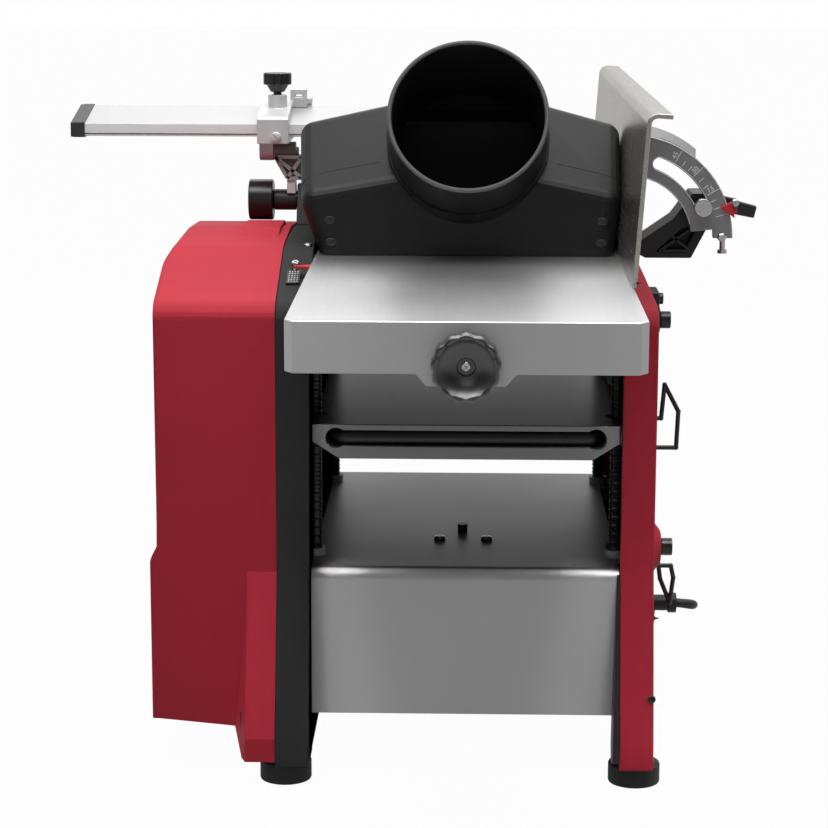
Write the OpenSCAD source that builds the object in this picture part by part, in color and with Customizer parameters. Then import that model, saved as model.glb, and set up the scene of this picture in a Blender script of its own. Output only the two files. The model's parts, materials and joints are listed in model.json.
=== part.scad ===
// Combination planer thicknesser, seen from the infeed end along +Y.
// Millimetres, +Z up, floor at z = 0.

/* [Tables] */
// Width of the planing tables
table_w = 210; // [190:1:225]
// Length from the end of one table to the end of the other
table_len = 737; // [640:1:800]
// Height of the planing surface above the floor
table_top = 347; // [346:0.5:350]
// Depth of the rim round the tables
table_rim = 30.7; // [24:0.1:34]
// Thickness of the table deck
deck_t = 9; // [6:0.5:12]
// Half of the mouth between the two tables
mouth = 29; // [27.5:0.5:34]
// Deepest cut of the planer
cut_max = 3; // [1:0.5:4]

/* [Frame] */
// How far a side frame reaches in under the table's edge
frame_lap = 1; // [0:0.5:2]
// Thickness of a side frame across the machine
frame_w = 23; // [21:0.5:26]
// Half length of a side frame
frame_y = 154; // [150:1:170]
// Wall of the side frames
frame_wall = 4; // [3:0.5:6]
// Top of the left frame and the drive cover
frame_top = 357; // [350:1:362]
// Top of the right frame
right_top = 341; // [339:0.5:342]
// Height at which the legs start to flare
leg_flare_z = 144; // [130:1:150]
// How far the legs reach out past the frame
leg_reach = 31; // [15:1:45]
// Underside of the legs
leg_z = 14; // [10:1:18]
// Diameter of a rubber foot
foot_d = 35; // [28:1:40]
// Distance of the feet from the middle, lengthwise
foot_y = 163; // [158:1:166]

/* [Base] */
// Underside of the base box
base_z = 43; // [36:1:50]
// Top of the base box
base_top = 145; // [140:1:150]
// Sheet thickness of the base box
base_t = 2; // [1.5:0.25:4]

/* [Thickness table] */
// Top of the thickness table at rest
thick_top = 243; // [235:1:250]
// Depth of the thickness table casting
thick_h = 23.5; // [22:0.5:28]
// Half length of the thickness table
thick_y = 150; // [140:1:153]
// Clear gap at each side of the thickness table
thick_gap = 1; // [0.5:0.1:2]
// Largest timber thickness
pass_max = 120; // [100:1:130]
// Smallest timber thickness
pass_min = 6; // [5:1:12]
// Diameter of the lifting screws
screw_d = 10; // [8:0.5:12]
// Lengthwise place of the lifting screws
screw_y = 115; // [105:1:120]
// Diameter of the pull-out support bar
support_d = 9.5; // [7:0.5:11]

/* [Cutter and feed] */
// Diameter of the cutter block
cutter_d = 50; // [44:1:52]
// Diameter of the cutter journals
journal_d = 12; // [10:1:14]
// Diameter of the feed rollers
roller_d = 26; // [20:1:28]
// Distance of the feed rollers from the cutter
roller_y = 62; // [55:1:75]
// Diameter of the feed roller journals
roller_pin = 10; // [8:1:11]

/* [Drive] */
// Width of the drive cover
cover_w = 81; // [70:1:90]
// Wall of the drive cover
cover_wall = 3; // [2:0.5:5]
// How far the lower part of the cover stands out
cover_bump = 5; // [2:0.5:8]
// Motor diameter
motor_d = 84; // [70:1:90]
// Motor pulley diameter
motor_pulley_d = 44; // [36:1:56]
// Cutter pulley diameter
cutter_pulley_d = 36; // [30:1:44]

/* [Dust chute] */
// Outside diameter of the dust port
port_d = 109; // [100:1:112]
// Wall of the dust chute
chute_wall = 3; // [2:0.5:4]
// Upward tilt of the dust port
port_tilt = 26; // [20:1:30]
// Length of the dust port
port_len = 92; // [88:1:96]
// Free length of the port that a hose slides over
port_free = 40; // [24:1:42]

/* [Bridge guard] */
// Length of the guard bar
guard_len = 300; // [260:1:310]
// Left end of the guard bar
guard_left = -288; // [-300:1:-270]
// Width of the guard bar
guard_w = 50; // [40:1:60]
// Front edge of the guard bar
guard_y = 40; // [38:1:46]
// Underside of the guard bar
guard_z = 419; // [414:1:424]
// Thickness of the guard bar at its edges
guard_t = 9; // [7:0.5:12]
// Rise of the guard bar towards the back
guard_rise = 10; // [4:1:12]

/* [Fence] */
// Length of the fence
fence_len = 575; // [500:1:600]
// Near end of the fence
fence_front = -231; // [-240:1:-200]
// Height of the fence
fence_h = 109; // [90:1:115]
// Thickness of the fence sheet
fence_t = 3; // [2:0.25:4]
// Width of the flange along the top of the fence
fence_flange = 13; // [8:1:18]
// Lean of the fence at rest
fence_lean = 4; // [3.5:0.5:5]
// Largest tilt of the fence
fence_tilt = 45; // [15:1:45]
// Distance from the middle of the slot to the rim of the quadrant
slot_rim = 17; // [15:0.5:19]
// Outer radius of the quadrant
quadrant_r = 74.5; // [74:0.5:80]
// Thickness of the quadrant
quadrant_t = 6; // [4:0.5:8]
// Diameter of the fence lock bolt
lock_d = 8; // [6:0.5:9]

/* [Controls] */
// Diameter of the planing depth knob
depth_knob_d = 41; // [34:1:46]
// Length of the planing depth knob
depth_knob_l = 13; // [10:0.5:16]
// Number of grips round the planing depth knob
depth_grips = 13; // [8:1:16]
// Diameter of the guard lock knob
guard_knob_d = 30; // [24:1:30]
// Diameter of the guard star knob
star_d = 21; // [16:1:24]
// Travel of the reset button
press = 3; // [1:0.5:4]
// Wire thickness of the cord hooks
hook_d = 3.2; // [2.5:0.1:4]
// Diameter of the mains cord
cord_d = 6.6; // [5:0.2:7]

/* [Fits] */
// Radial clearance of turning fits
run_gap = 0.05; // [0.02:0.01:0.1]
// Clearance between sliding pieces
slide_gap = 0.3; // [0.25:0.05:0.5]

/* [Hidden] */
$fn = 48;

// Places worked out from the driving sizes
frame_in = table_w / 2 - frame_lap;
frame_out = frame_in + frame_w;
web_in = frame_out - 6;
table_half = table_len / 2;
rim_z = table_top - table_rim;
deck_z = table_top - deck_t;
cutter_z = table_top - cutter_d / 2;
cut_bottom = cutter_z - cutter_d / 2;
lift_up = cut_bottom - pass_min - thick_top;
lift_down = thick_top - cut_bottom + pass_max;
thick_half = frame_in - thick_gap;
thick_z = thick_top - thick_h;
screw_x = frame_in - 1;
roller_z = cut_bottom - 1.5 + roller_d / 2;
head_y = roller_y + 34;
head_top = rim_z - 1;
cover_left = -frame_out - cover_w;
pulley_x = -frame_out - 22;
motor_y = 0;
motor_z = (base_z + base_top) / 2;
depth_knob_z = table_top - 25;
depth_knob_y = -table_half - 1;
pivot_x = table_w / 2 + 10;
pivot_z = table_top + 4;
lock_angle = 23.6;
slot_r = quadrant_r - slot_rim;
lock_x = pivot_x + slot_r * cos(lock_angle);
lock_z = pivot_z + slot_r * sin(lock_angle);
lever_tip = lock_x + 44;
guard_back = guard_y + guard_w;
guard_mid = guard_y + guard_w / 2;
clamp_x = -frame_out - 27;
clamp_w = 23;
swing_y = guard_mid - 5;
swing_z = frame_top + 14;
level_z = guard_z - 12;
port_c = [0, -104, table_top + 98];
cord_r = cord_d / 2;

// The part's origin lies under the middle of its box
mid_x = (guard_left - 3 + lever_tip) / 2;
mid_y = (depth_knob_y - depth_knob_l + table_half) / 2;
module place() translate([-mid_x, -mid_y, 0]) children();

// Shapes that repeat
module along_x(x0, x1) translate([x0, 0, 0]) rotate([90, 0, 90]) linear_extrude(x1 - x0) children();
module along_y(y0, y1) translate([0, y1, 0]) rotate([90, 0, 0]) linear_extrude(y1 - y0) children();
module rod_x(r, x0, x1, y, z) translate([x0, y, z]) rotate([0, 90, 0]) cylinder(r = r, h = x1 - x0);
module rod_y(r, y0, y1, x, z) translate([x, y1, z]) rotate([90, 0, 0]) cylinder(r = r, h = y1 - y0);
module rod_z(r, z0, z1, x, y) translate([x, y, z0]) cylinder(r = r, h = z1 - z0);
module box(a, b) translate(a) cube(b - a);
module both_x() {
    children();
    mirror([1, 0, 0]) children();
}
module both_y() {
    children();
    mirror([0, 1, 0]) children();
}
function arc(cx, cy, r, a0, a1, n = 8) = [for (i = [0 : n])
    let (a = a0 + (a1 - a0) * i / n) [cx + r * cos(a), cy + r * sin(a)]];
function flip(points) = [for (i = [len(points) - 1 : -1 : 0]) [-points[i][0], points[i][1]]];

// Side outline of a frame: half of it, from the ridge down the front to the arch between the legs
crease_y = frame_y - 79;
bend_r = 14;
foot_land = 37;
function side_half(top, rise, inset = 0) = concat(
    [[-crease_y, top - 5 - inset]],
    arc(inset + bend_r - frame_y, top - rise - inset / 2, bend_r, 112, 180, 6),
    [[inset - frame_y, leg_flare_z], [inset - frame_y - leg_reach, leg_z + 18],
     [inset - frame_y - leg_reach, leg_z + inset], [foot_land - inset - frame_y - leg_reach, leg_z + inset],
     [foot_land + 10 - inset - frame_y - leg_reach, base_z + inset]]);
function side_outline(top, rise, inset = 0) =
    concat(side_half(top, rise, inset), flip(side_half(top, rise, inset)), [[0, top - inset]]);
left_rise = 45;
right_rise = 33;
right_slope = [8, 19];

// Sheet box that carries the frames, the motor and the feet of the lifting screws
base_r = 8;
ear_out = 10;
ear_y = 13;
bush_r = screw_d / 2 + 2;
shaft_hole = 11;
motor_hole = 15;
module base_outline(t, foot) {
    y = frame_y - t;
    z = base_top - t;
    r = base_r - t;
    polygon(concat([[y, foot]], arc(y - r, z - r, r, 0, 90, 6), arc(r - y, z - r, r, 90, 180, 6),
        [[-y, foot]]));
}
module screw_ear(z0, z1)
    box([frame_in - 20, screw_y - ear_y, z0], [screw_x + ear_out, screw_y + ear_y, z1]);
module base_box() color("#8f9092") place() difference() {
    union() {
        difference() {
            along_x(-frame_in, frame_in) base_outline(0, base_z);
            along_x(base_t - frame_in, frame_in - base_t) base_outline(base_t, base_z - 1);
        }
        both_y() both_x() screw_ear(base_top - base_t, base_top);
    }
    both_y() both_x() rod_z(screw_d / 2 + 1, base_top - 5, base_top + 1, screw_x, screw_y);
    rod_x(shaft_hole, -frame_in - 1, -frame_in + base_t + 1, motor_y, motor_z);
    both_y() both_x() box([frame_in - base_t - 1, screw_y - ear_y - 5, screw_foot - 2],
        [frame_in + 1, screw_y + ear_y + 5, base_top - base_t]);
}

// Side frames: shells that are open towards the middle
module frame_shell(top, rise, slope) difference() {
    along_x(frame_in, frame_out) polygon(side_outline(top, rise));
    difference() {
        along_x(frame_in - 1, web_in) polygon(side_outline(top, rise, frame_wall));
        top_slope(top, slope, frame_wall);
    }
    top_slope(top, slope, 0);
    table_room();
}
// Slope along the outer top edge of a frame
module top_slope(top, slope, wall) along_y(-frame_y * 2, frame_y * 2)
    polygon([[frame_out - slope[0] - wall, top + 0.01], [frame_out - slope[0] - wall, top + 9],
        [frame_out + 9, top + 9], [frame_out + 0.01, top - slope[1] - wall]]);
// Room for the tables between the frames
module table_room()
    box([0, -table_half, rim_z - cut_max - 1], [table_w / 2 + 1, table_half, frame_top + 9]);
left_slope = [2, 2];
module left_frame() color("#3b3b3d") place() difference() {
    mirror([1, 0, 0]) frame_shell(frame_top, left_rise, left_slope);
    rod_x(shaft_hole, -frame_out - 1, 1 - web_in, 0, cutter_z);
    rod_x(motor_hole, -frame_out - 1, 1 - web_in, motor_y, motor_z);
    both_y() rod_x(roller_pin / 2 + 1, -frame_out - 1, 1 - web_in, roller_y, roller_z);
}
knob_z = base_top + 7;
boss_l = 7;
boss_r = 20;
height_r = 4;
module right_frame() color("#b01f34") place() difference() {
    union() {
        frame_shell(right_top, right_rise, right_slope);
        translate([frame_out, -screw_y, knob_z]) rotate([0, 90, 0])
            cylinder(r1 = boss_r, r2 = boss_r * 0.55, h = boss_l);
    }
    rod_x(height_r + run_gap, web_in - 1, frame_out + boss_l + 1, -screw_y, knob_z);
}
foot_out = 5.5;
module feet() color("#1d1d1e") place() both_y()
    for (x = [frame_in + frame_w / 2, -frame_in - frame_w / 2 - foot_out])
        rod_z(foot_d / 2, 0, leg_z, x, foot_y);

// Bearing heads stand in the pockets of the frames and carry the cutter and the feed rollers
bearing_r = journal_d / 2 + 7;
bearing_w = 11;
head_x = frame_in + 1;
head_h = 62;
block_w = 15;
block_h = roller_pin + 3;
tower_top = head_top + 14;
tower_w = block_w + 8;
spring_r = 4;
finger_y = head_y - 6;
finger_z = head_top + 5;
finger_pin = 3;
module head_outline() {
    translate([-head_y, cutter_z - head_h]) square([head_y * 2, head_top - cutter_z + head_h]);
    translate([-bearing_r - 2, head_top - 1])
        square([bearing_r * 2 + 4, cutter_z + bearing_r + 0.5 - head_top + 1]);
    for (side = [-1, 1])
        translate([side * roller_y - tower_w / 2, head_top - 1]) square([tower_w, tower_top - head_top + 1]);
    translate([-head_y, head_top - 1]) square([12, finger_z - head_top + 7]);
}
module bearing_heads() color("#6f7073") place() both_x() difference() {
    along_x(head_x, web_in) head_outline();
    rod_x(bearing_r, frame_in, web_in - 4, 0, cutter_z);
    rod_x(journal_d / 2 + 2, frame_in, web_in + 1, 0, cutter_z);
    both_y() box([frame_in, roller_y - block_w / 2 - slide_gap, roller_z - block_h / 2],
        [web_in + 1, roller_y + block_w / 2 + slide_gap, tower_top - 3]);
    rod_x(finger_pin + run_gap, frame_in, web_in + 1, -finger_y, finger_z);
    top_slope(right_top, right_slope, frame_wall);
}
module cutter_bearings() color("#b9bbbe") place() both_x() difference() {
    rod_x(bearing_r, web_in - 4 - bearing_w, web_in - 4, 0, cutter_z);
    rod_x(journal_d / 2 + run_gap, frame_in - 9, web_in, 0, cutter_z);
}
module roller_blocks() color("#5b5c5f") place() both_x() both_y() difference() {
    box([head_x, roller_y - block_w / 2, roller_z - block_h / 2],
        [web_in, roller_y + block_w / 2, roller_z + block_h / 2]);
    rod_x(roller_pin / 2 + run_gap, frame_in, web_in + 1, roller_y, roller_z);
}
module roller_springs() color("#9a9c9f") place() both_x() both_y() difference() {
    rod_z(spring_r, roller_z + block_h / 2, tower_top - 3, (head_x + web_in) / 2, roller_y);
    rod_z(spring_r - 1.2, roller_z, tower_top, (head_x + web_in) / 2, roller_y);
}
// Cutter block with two flats for the knives and journals for the bearings and the pulley
flat_d = 3;
knife_w = 16;
knife_t = 2.6;
cutter_half = frame_in - 2;
module cutter_block() color("#8a8c90") place() {
    difference() {
        rod_x(cutter_d / 2 - 1.2, -cutter_half, cutter_half, 0, cutter_z);
        for (turn = [0, 180]) knife_at(turn) box([-cutter_half - 1, -knife_w / 2 - 2, -flat_d],
            [cutter_half + 1, knife_w / 2 + 2, flat_d]);
    }
    rod_x(journal_d / 2, -frame_out - 34, 1 - cutter_half, 0, cutter_z);
    rod_x(journal_d / 2, cutter_half - 1, web_in - 4, 0, cutter_z);
}
module knife_at(turn) translate([0, 0, cutter_z]) rotate([turn, 0, 0])
    translate([0, 0, cutter_d / 2 - 1.2]) children();
module cutter_knives() color("#d9dadc") place() for (turn = [0, 180]) knife_at(turn)
    box([1 - cutter_half, -knife_w / 2, -flat_d], [cutter_half - 1, knife_w / 2, knife_t - flat_d]);
// Feed rollers with a chain wheel at their left ends
wheel_r = 21;
wheel_w = 4;
wheel_x = -frame_out - 9;
roller_half = frame_in - 3;
module roller(y) {
    rod_x(roller_d / 2, -roller_half, roller_half, y, roller_z);
    rod_x(roller_pin / 2, wheel_x - 1, web_in, y, roller_z);
    rod_x(wheel_r, wheel_x, wheel_x + wheel_w, y, roller_z);
}
module infeed_roller() color("#7d7f83") place() roller(-roller_y);
module outfeed_roller() color("#2a2a2b") place() roller(roller_y);
module belt_outline(y0, z0, r0, y1, z1, r1)
    polygon(concat(arc(y0, z0, r0, 180, 360, 16), arc(y1, z1, r1, 0, 180, 16)));
module run_outline(r)
    polygon(concat(arc(roller_y, roller_z, r, -90, 90, 16), arc(-roller_y, roller_z, r, 90, 270, 16)));
module feed_chain() color("#4a4a4c") place() along_x(wheel_x + 0.5, wheel_x + wheel_w - 0.5) difference() {
    run_outline(wheel_r + chain_gap + chain_t);
    run_outline(wheel_r + chain_gap);
}
// Motor under the base top, and the belt up to the cutter
pulley_w = 18;
belt_t = 4;
motor_len = frame_in * 2 - 38;
rotor_r = 6;
rotor_l = 58;
module motor() color("#4d4f52") place() difference() {
    union() {
        rod_x(motor_d / 2, 8 - frame_in, motor_len - frame_in, motor_y, motor_z);
        box([24 - frame_in, -24, motor_z], [motor_len - frame_in - 24, 24, base_top - base_t]);
    }
    rod_x(rotor_r + run_gap, -frame_in, rotor_l + 2 - frame_in, motor_y, motor_z);
}
module motor_rotor() color("#77797c") place() {
    rod_x(rotor_r, pulley_x - pulley_w - 2, rotor_l - frame_in, motor_y, motor_z);
    rod_x(motor_pulley_d / 2, pulley_x - pulley_w, pulley_x, motor_y, motor_z);
}
module cutter_pulley() color("#77797c") place() difference() {
    rod_x(cutter_pulley_d / 2, pulley_x - pulley_w, pulley_x, 0, cutter_z);
    rod_x(journal_d / 2, pulley_x - pulley_w - 1, pulley_x + 1, 0, cutter_z);
}
belt_gap = 0.4;
module drive_belt() color("#202021") place() along_x(pulley_x - pulley_w + 3, pulley_x - 3) difference() {
    belt_outline(motor_y, motor_z, motor_pulley_d / 2 + belt_gap + belt_t,
        0, cutter_z, cutter_pulley_d / 2 + belt_gap + belt_t);
    belt_outline(motor_y, motor_z, motor_pulley_d / 2 + belt_gap,
        0, cutter_z, cutter_pulley_d / 2 + belt_gap);
}
// Fingers that stop the timber from being thrown back
finger_n = 11;
finger_w = 10;
finger_l = 24;
module kickback_fingers() color("#6a6c70") place() {
    rod_x(finger_pin, 4 - web_in, web_in - 4, -finger_y, finger_z);
    for (i = [0 : finger_n - 1]) {
        x = (i - (finger_n - 1) / 2) * cutter_half * 2 / finger_n;
        along_x(x - finger_w / 2, x + finger_w / 2) translate([-finger_y, finger_z])
            polygon([[-6, 5], [4, 5], [3, 3 - finger_l], [0, -finger_l], [-6, -6]]);
    }
}
deflector_t = 2;
deflector_z = deck_z - 11;
module chip_deflector() color("#a4a6a9") place() along_x(-frame_in, frame_in)
    polygon([[4 - frame_y, rim_z - 5], [-head_y - 8, deflector_z], [-head_y - 8, deflector_z + deflector_t],
        [4 - frame_y, rim_z - 5 + deflector_t]]);

// Planing tables: a deck with a rim, deeper outside the frames
rim_t = 7;
module table_blank() difference() {
    translate([0, 0, rim_z]) linear_extrude(table_rim) polygon([[-table_w / 2, mouth], [table_w / 2, mouth],
        [table_w / 2, table_half - 7], [table_w / 2 - 5, table_half], [5 - table_w / 2, table_half],
        [-table_w / 2, table_half - 7]]);
    box([rim_t - table_w / 2, mouth + rim_t, rim_z - 1], [table_w / 2 - rim_t, table_half - rim_t, deck_z]);
    box([-table_w, mouth - 1, rim_z - 1], [table_w, frame_y + 2, deck_z - 2]);
    along_y(0, table_half + 1) polygon([[-table_w, rim_z - 1], [-table_w / 2, rim_z - 1],
        [-table_w / 2 - 1, rim_z + 4]]);
}
foot_t = 8;
foot_x = 8;
module table_foot(gap) both_x() {
    box([table_w / 2 - 3, mouth + 4, head_top + gap], [head_x + foot_x, mouth + 21, head_top + foot_t]);
    box([table_w / 2 - 3, mouth + 4, head_top + gap], [table_w / 2, mouth + 21, deck_z - 1]);
}
module outfeed_table() color("#c9cacc") place() {
    table_blank();
    table_foot(0);
}
tab_half = 29;
tab_drop = 7;
module infeed_table() color("#c9cacc") place() difference() {
    union() {
        mirror([0, 1, 0]) {
            table_blank();
            table_foot(cut_max + slide_gap);
        }
        along_y(-table_half, rim_t - table_half) polygon([[-tab_half, rim_z], [tab_half, rim_z],
            [tab_half - 6, rim_z - tab_drop], [6 - tab_half, rim_z - tab_drop]]);
    }
    rod_y(depth_pin + run_gap, -table_half - 1, rim_t + 1 - table_half, 0, depth_knob_z);
}
depth_pin = 4;
module depth_knob() color("#1a1a1b") place() {
    difference() {
        rod_y(depth_knob_d / 2, depth_knob_y - depth_knob_l, depth_knob_y, 0, depth_knob_z);
        translate([0, depth_knob_y - depth_knob_l - 0.1, depth_knob_z]) rotate([-90, 0, 0])
            cylinder(r1 = depth_knob_d / 2 - 3.5, r2 = depth_knob_d / 2 - 10, h = 6);
        for (i = [0 : depth_grips - 1]) {
            a = 360 * (i + 0.5) / depth_grips;
            r = depth_knob_d / 2 + 3.4;
            rod_y(4.5, depth_knob_y - depth_knob_l - 1, depth_knob_y + 1,
                r * cos(a), depth_knob_z + r * sin(a));
        }
    }
    rod_y(5, depth_knob_y - depth_knob_l + 4, depth_knob_y - depth_knob_l + 7, 0, depth_knob_z);
    rod_y(depth_pin, depth_knob_y - 1, rim_t + 12 - table_half, 0, depth_knob_z);
}
scale_y = -116;
slope_y = bend_r - frame_y + bend_r * cos(112);
slope_z = frame_top - left_rise + bend_r * sin(112);
slope_a = atan2(frame_top - 5 - slope_z, -crease_y - slope_y);
pointer_z = table_top - 3.8;
module depth_pointer() color("#c4162e") place()
    translate([0, 0, pointer_z]) linear_extrude(2) polygon([[-table_w / 2, scale_y - 6],
        [-table_w / 2, scale_y + 6], [-table_w / 2 - 12, scale_y + 1], [-table_w / 2 - 12, scale_y - 1]]);
module depth_scale() color("#1f1f20") place()
    translate([-frame_in - 12.6, scale_y, slope_z + (scale_y - slope_y) * tan(slope_a)])
    rotate([slope_a, 0, 0]) box([-5, -9, 0], [4, 9, 1.6]);

// Thickness table with chamfered lower corners and a slot for the support bar
slot_z = thick_z + 14;
slot_r0 = support_d / 2 + 0.6;
slot_end = thick_half - 16;
support_back = 120;
module thickness_outline() polygon([[-thick_half, thick_top], [thick_half, thick_top],
    [thick_half, thick_top - 12], [thick_half - 18, thick_z], [18 - thick_half, thick_z],
    [-thick_half, thick_top - 12]]);
module thickness_table() color("#a9abae") place() difference() {
    union() {
        along_y(-thick_y, thick_y) thickness_outline();
        both_x() both_y() screw_ear(thick_top - 18, thick_top - 4);
    }
    box([8 - thick_half, 34 - thick_y, thick_z - 1], [thick_half - 8, thick_y - 8, thick_top - 6]);
    both_x() both_y() rod_z(nut_r, thick_z - 1, thick_top + 1, screw_x, screw_y);
    along_y(-thick_y - 1, support_d + 3 - thick_y)
        translate([-slot_end, slot_z - slot_r0]) square([slot_end * 2, slot_r0 * 2]);
    both_x() rod_y(slot_r0 + 1.6, -thick_y - 1, support_back - thick_y + 6, slot_end, slot_z);
}
nut_r = screw_d / 2 + 3;
module table_nuts() color("#b08d4a") place() both_x() both_y() difference() {
    rod_z(nut_r, thick_top - 20, thick_top - 2, screw_x, screw_y);
    rod_z(screw_d / 2 + run_gap, thick_z - 9, thick_top + 1, screw_x, screw_y);
}
support_y = support_d / 2 + 1 - thick_y;
support_x = slot_end - 1;
bow = 7;
module support_bar() color("#161617") place() {
    rod_x(support_d / 2, bow - support_x, support_x - bow, support_y, slot_z);
    both_x() {
        rod_y(support_d / 2, support_y + bow, support_y + support_back, support_x, slot_z);
        translate([support_x - bow, support_y + bow, slot_z]) rotate([0, 0, -90])
            rotate_extrude(angle = 90) translate([bow, 0]) circle(d = support_d);
    }
}

// Lifting screws with their sprockets under the base top
screw_foot = base_top - 16;
screw_head = rim_z - cut_max - 5;
sprocket_r = 11;
bevel_r = 5.6;
module spindle(sx, sy) {
    rod_z(screw_d / 2, screw_foot, screw_head, sx * screw_x, sy * screw_y);
    rod_z(sprocket_r, screw_foot, screw_foot + 4, sx * screw_x, sy * screw_y);
}
crown_z = base_top + 5.4;
module spindle_fl() color("#2b2b2c") place() spindle(-1, -1);
module spindle_fr() color("#2b2b2c") place() {
    spindle(1, -1);
    rod_z(screw_d / 2 + 1.8, crown_z, crown_z + 3, screw_x, -screw_y);
}
module spindle_bl() color("#2b2b2c") place() spindle(-1, 1);
module spindle_br() color("#2b2b2c") place() spindle(1, 1);
module spindle_bushes() color("#d8d8d6") place() both_x() both_y() difference() {
    rod_z(bush_r, base_top, base_top + 5, screw_x, screw_y);
    rod_z(screw_d / 2 + run_gap, base_top - 1, base_top + 6, screw_x, screw_y);
}
chain_gap = 0.6;
chain_t = 3;
module chain_loop(r) polygon(concat(arc(screw_x, screw_y, r, 0, 90, 6), arc(-screw_x, screw_y, r, 90, 180, 6),
    arc(-screw_x, -screw_y, r, 180, 270, 6), arc(screw_x, -screw_y, r, 270, 360, 6)));
module lift_chain() color("#4a4a4c") place()
    translate([0, 0, screw_foot + 0.5]) linear_extrude(3) difference() {
    chain_loop(sprocket_r + chain_gap + chain_t);
    chain_loop(sprocket_r + chain_gap);
}

// Height knob: a shaft through the boss of the right frame, with a bevel wheel beside its screw
cap_r = 5;
module height_knob() color("#1a1a1b") place() {
    rod_x(height_r, screw_x + screw_d / 2 + 2.4, frame_out + boss_l + 4, -screw_y, knob_z);
    rod_x(cap_r + 1, frame_out + boss_l + 0.4, frame_out + boss_l + 8, -screw_y, knob_z);
    translate([screw_x + screw_d / 2 + 2.4, -screw_y, knob_z]) rotate([0, 90, 0])
        cylinder(r1 = bevel_r - 1.2, r2 = bevel_r, h = 4);
}

// Red drive cover: a shell with a sloped shoulder and a lower part that stands out
bump_z = base_top + 4;
cover_foot = base_z - 14;
cover_lift = 9;
ridge_half = 62;
shoulder_z = frame_top - 22;
shoulder_shift = 0.6;
ridge_left = cover_left + 8;
flange_w = 20;
flange_root = 30;
module cover_outline(inset) intersection() {
    polygon(side_outline(frame_top + 1, left_rise, inset));
    translate([inset - frame_y, cover_foot + inset]) square([frame_y * 2 - inset * 2, frame_top]);
}
module cover_block(inset) difference() {
    union() {
        along_x(cover_left + inset, -frame_out) cover_outline(inset);
        intersection() {
            along_x(cover_left - cover_bump + inset, -frame_out) cover_outline(inset);
            union() {
                along_y(-frame_y, frame_y) polygon([[cover_left - cover_bump, 0], [-frame_out, 0],
                    [-frame_out, bump_z + 10], [cover_left, bump_z + 10 - inset],
                    [cover_left - cover_bump, bump_z - inset]]);
                box([cover_left - cover_bump, inset - ridge_half, bump_z - cover_lift],
                    [-frame_out, ridge_half - inset, frame_top]);
            }
        }
    }
    along_y(-frame_y * 2, frame_y * 2) translate([inset * shoulder_shift, -inset]) polygon([
        [cover_left * 2, shoulder_z], [cover_left - cover_bump, shoulder_z], [ridge_left, frame_top + 1],
        [ridge_left, frame_top * 2], [cover_left * 2, frame_top * 2]]);
    along_y(-frame_y * 2, frame_y * 2) polygon([[cover_left * 2, 0], [-frame_out + 1, 0],
        [-frame_out + 1, cover_foot + 1 + inset], [cover_left, cover_foot + cover_lift + inset],
        [cover_left * 2, cover_foot + cover_lift + inset]]);
}
flange_side = [[4 - frame_y, leg_flare_z - 2], [-frame_y, leg_flare_z - 2],
    [-frame_y - leg_reach, leg_z + 20], [-frame_y - leg_reach, leg_z + 4],
    [8 - frame_y - leg_reach, leg_z + 4], [4 - frame_y, cover_foot + 4]];
flange_reach = [flange_w, flange_w, flange_w, flange_w, flange_w + 3, flange_root];
module cover_flange() {
    n = len(flange_side);
    inner = [for (p = flange_side) [-frame_out, p[0], p[1]]];
    outer = [for (i = [0 : n - 1]) [-frame_out - flange_reach[i], flange_side[i][0], flange_side[i][1]]];
    polyhedron(points = concat(inner, outer), faces = concat([[for (i = [n - 1 : -1 : 0]) i]],
        [[n, n + 1, n + 2], [n, n + 2, n + 5], [n + 2, n + 3, n + 4], [n + 2, n + 4, n + 5]],
        [for (i = [0 : n - 1]) let (j = (i + 1) % n) each [[i, j, n + i], [j, n + j, n + i]]]));
}
module ridge_pad() along_x(-frame_out - 34, -frame_out - 6) polygon([[-48, ridge_at(48) - 2],
    [-24, frame_top + 3], [24, frame_top + 3], [40, ridge_at(40) - 2]]);
module drive_cover() color("#b01f34") place() {
    difference() {
        union() {
            cover_block(0);
            cover_flange();
            mirror([0, 1, 0]) cover_flange();
        }
        intersection() {
            cover_block(cover_wall);
            along_x(cover_left * 2, 0) translate([-frame_y, cover_foot]) square([frame_y * 2, frame_top]);
        }
    }
    ridge_pad();
}

// Dust chute: a rounded hood over the cutter with a round port that points up and forward
chute_z = table_top + slide_gap;
chute_front = -77;
chute_back = 30;
chute_top = chute_back - 20;
chute_r = 11;
chute_base = table_w / 2 - 3;
chute_left = -table_w / 2 - 10;
chute_right = table_w / 2 + 0.5;
chute_swell = 4.5;
roof_x = port_d / 2 + 1.5;
port_step = 1.5;
chute_corners = [
    [-chute_base, chute_front, 0], [chute_base, chute_front, 0],
    [-chute_base, chute_back, 0], [chute_base, chute_back, 0],
    [chute_left, chute_front, 47.5], [chute_right, chute_front, 47.5],
    [-roof_x, chute_front, 58], [roof_x, chute_front, 58],
    [chute_left - chute_swell, chute_top, 86], [chute_right + chute_swell / 2, chute_top, 86],
    [-roof_x, chute_top, 100], [roof_x, chute_top, 100],
    [chute_left - chute_swell, chute_back, 76], [chute_right + chute_swell / 2, chute_back, 76],
    [-roof_x, chute_back, 90], [roof_x, chute_back, 90]
];
module chute_hull(inset, sink) hull() for (c = chute_corners) {
    low = c[2] == 0 ? sink : 0;
    translate([c[0] - sign(c[0]) * chute_r, c[1] + (c[1] < 0 ? chute_r : -chute_r),
        chute_z + max(c[2] - chute_r, 0) - low])
        if (c[2] == 0) cylinder(r = chute_r - inset, h = 1, $fn = 24);
        else sphere(r = chute_r - inset, $fn = 24);
}
module port_at() translate(port_c) rotate([90 - port_tilt, 0, 0]) children();
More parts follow.
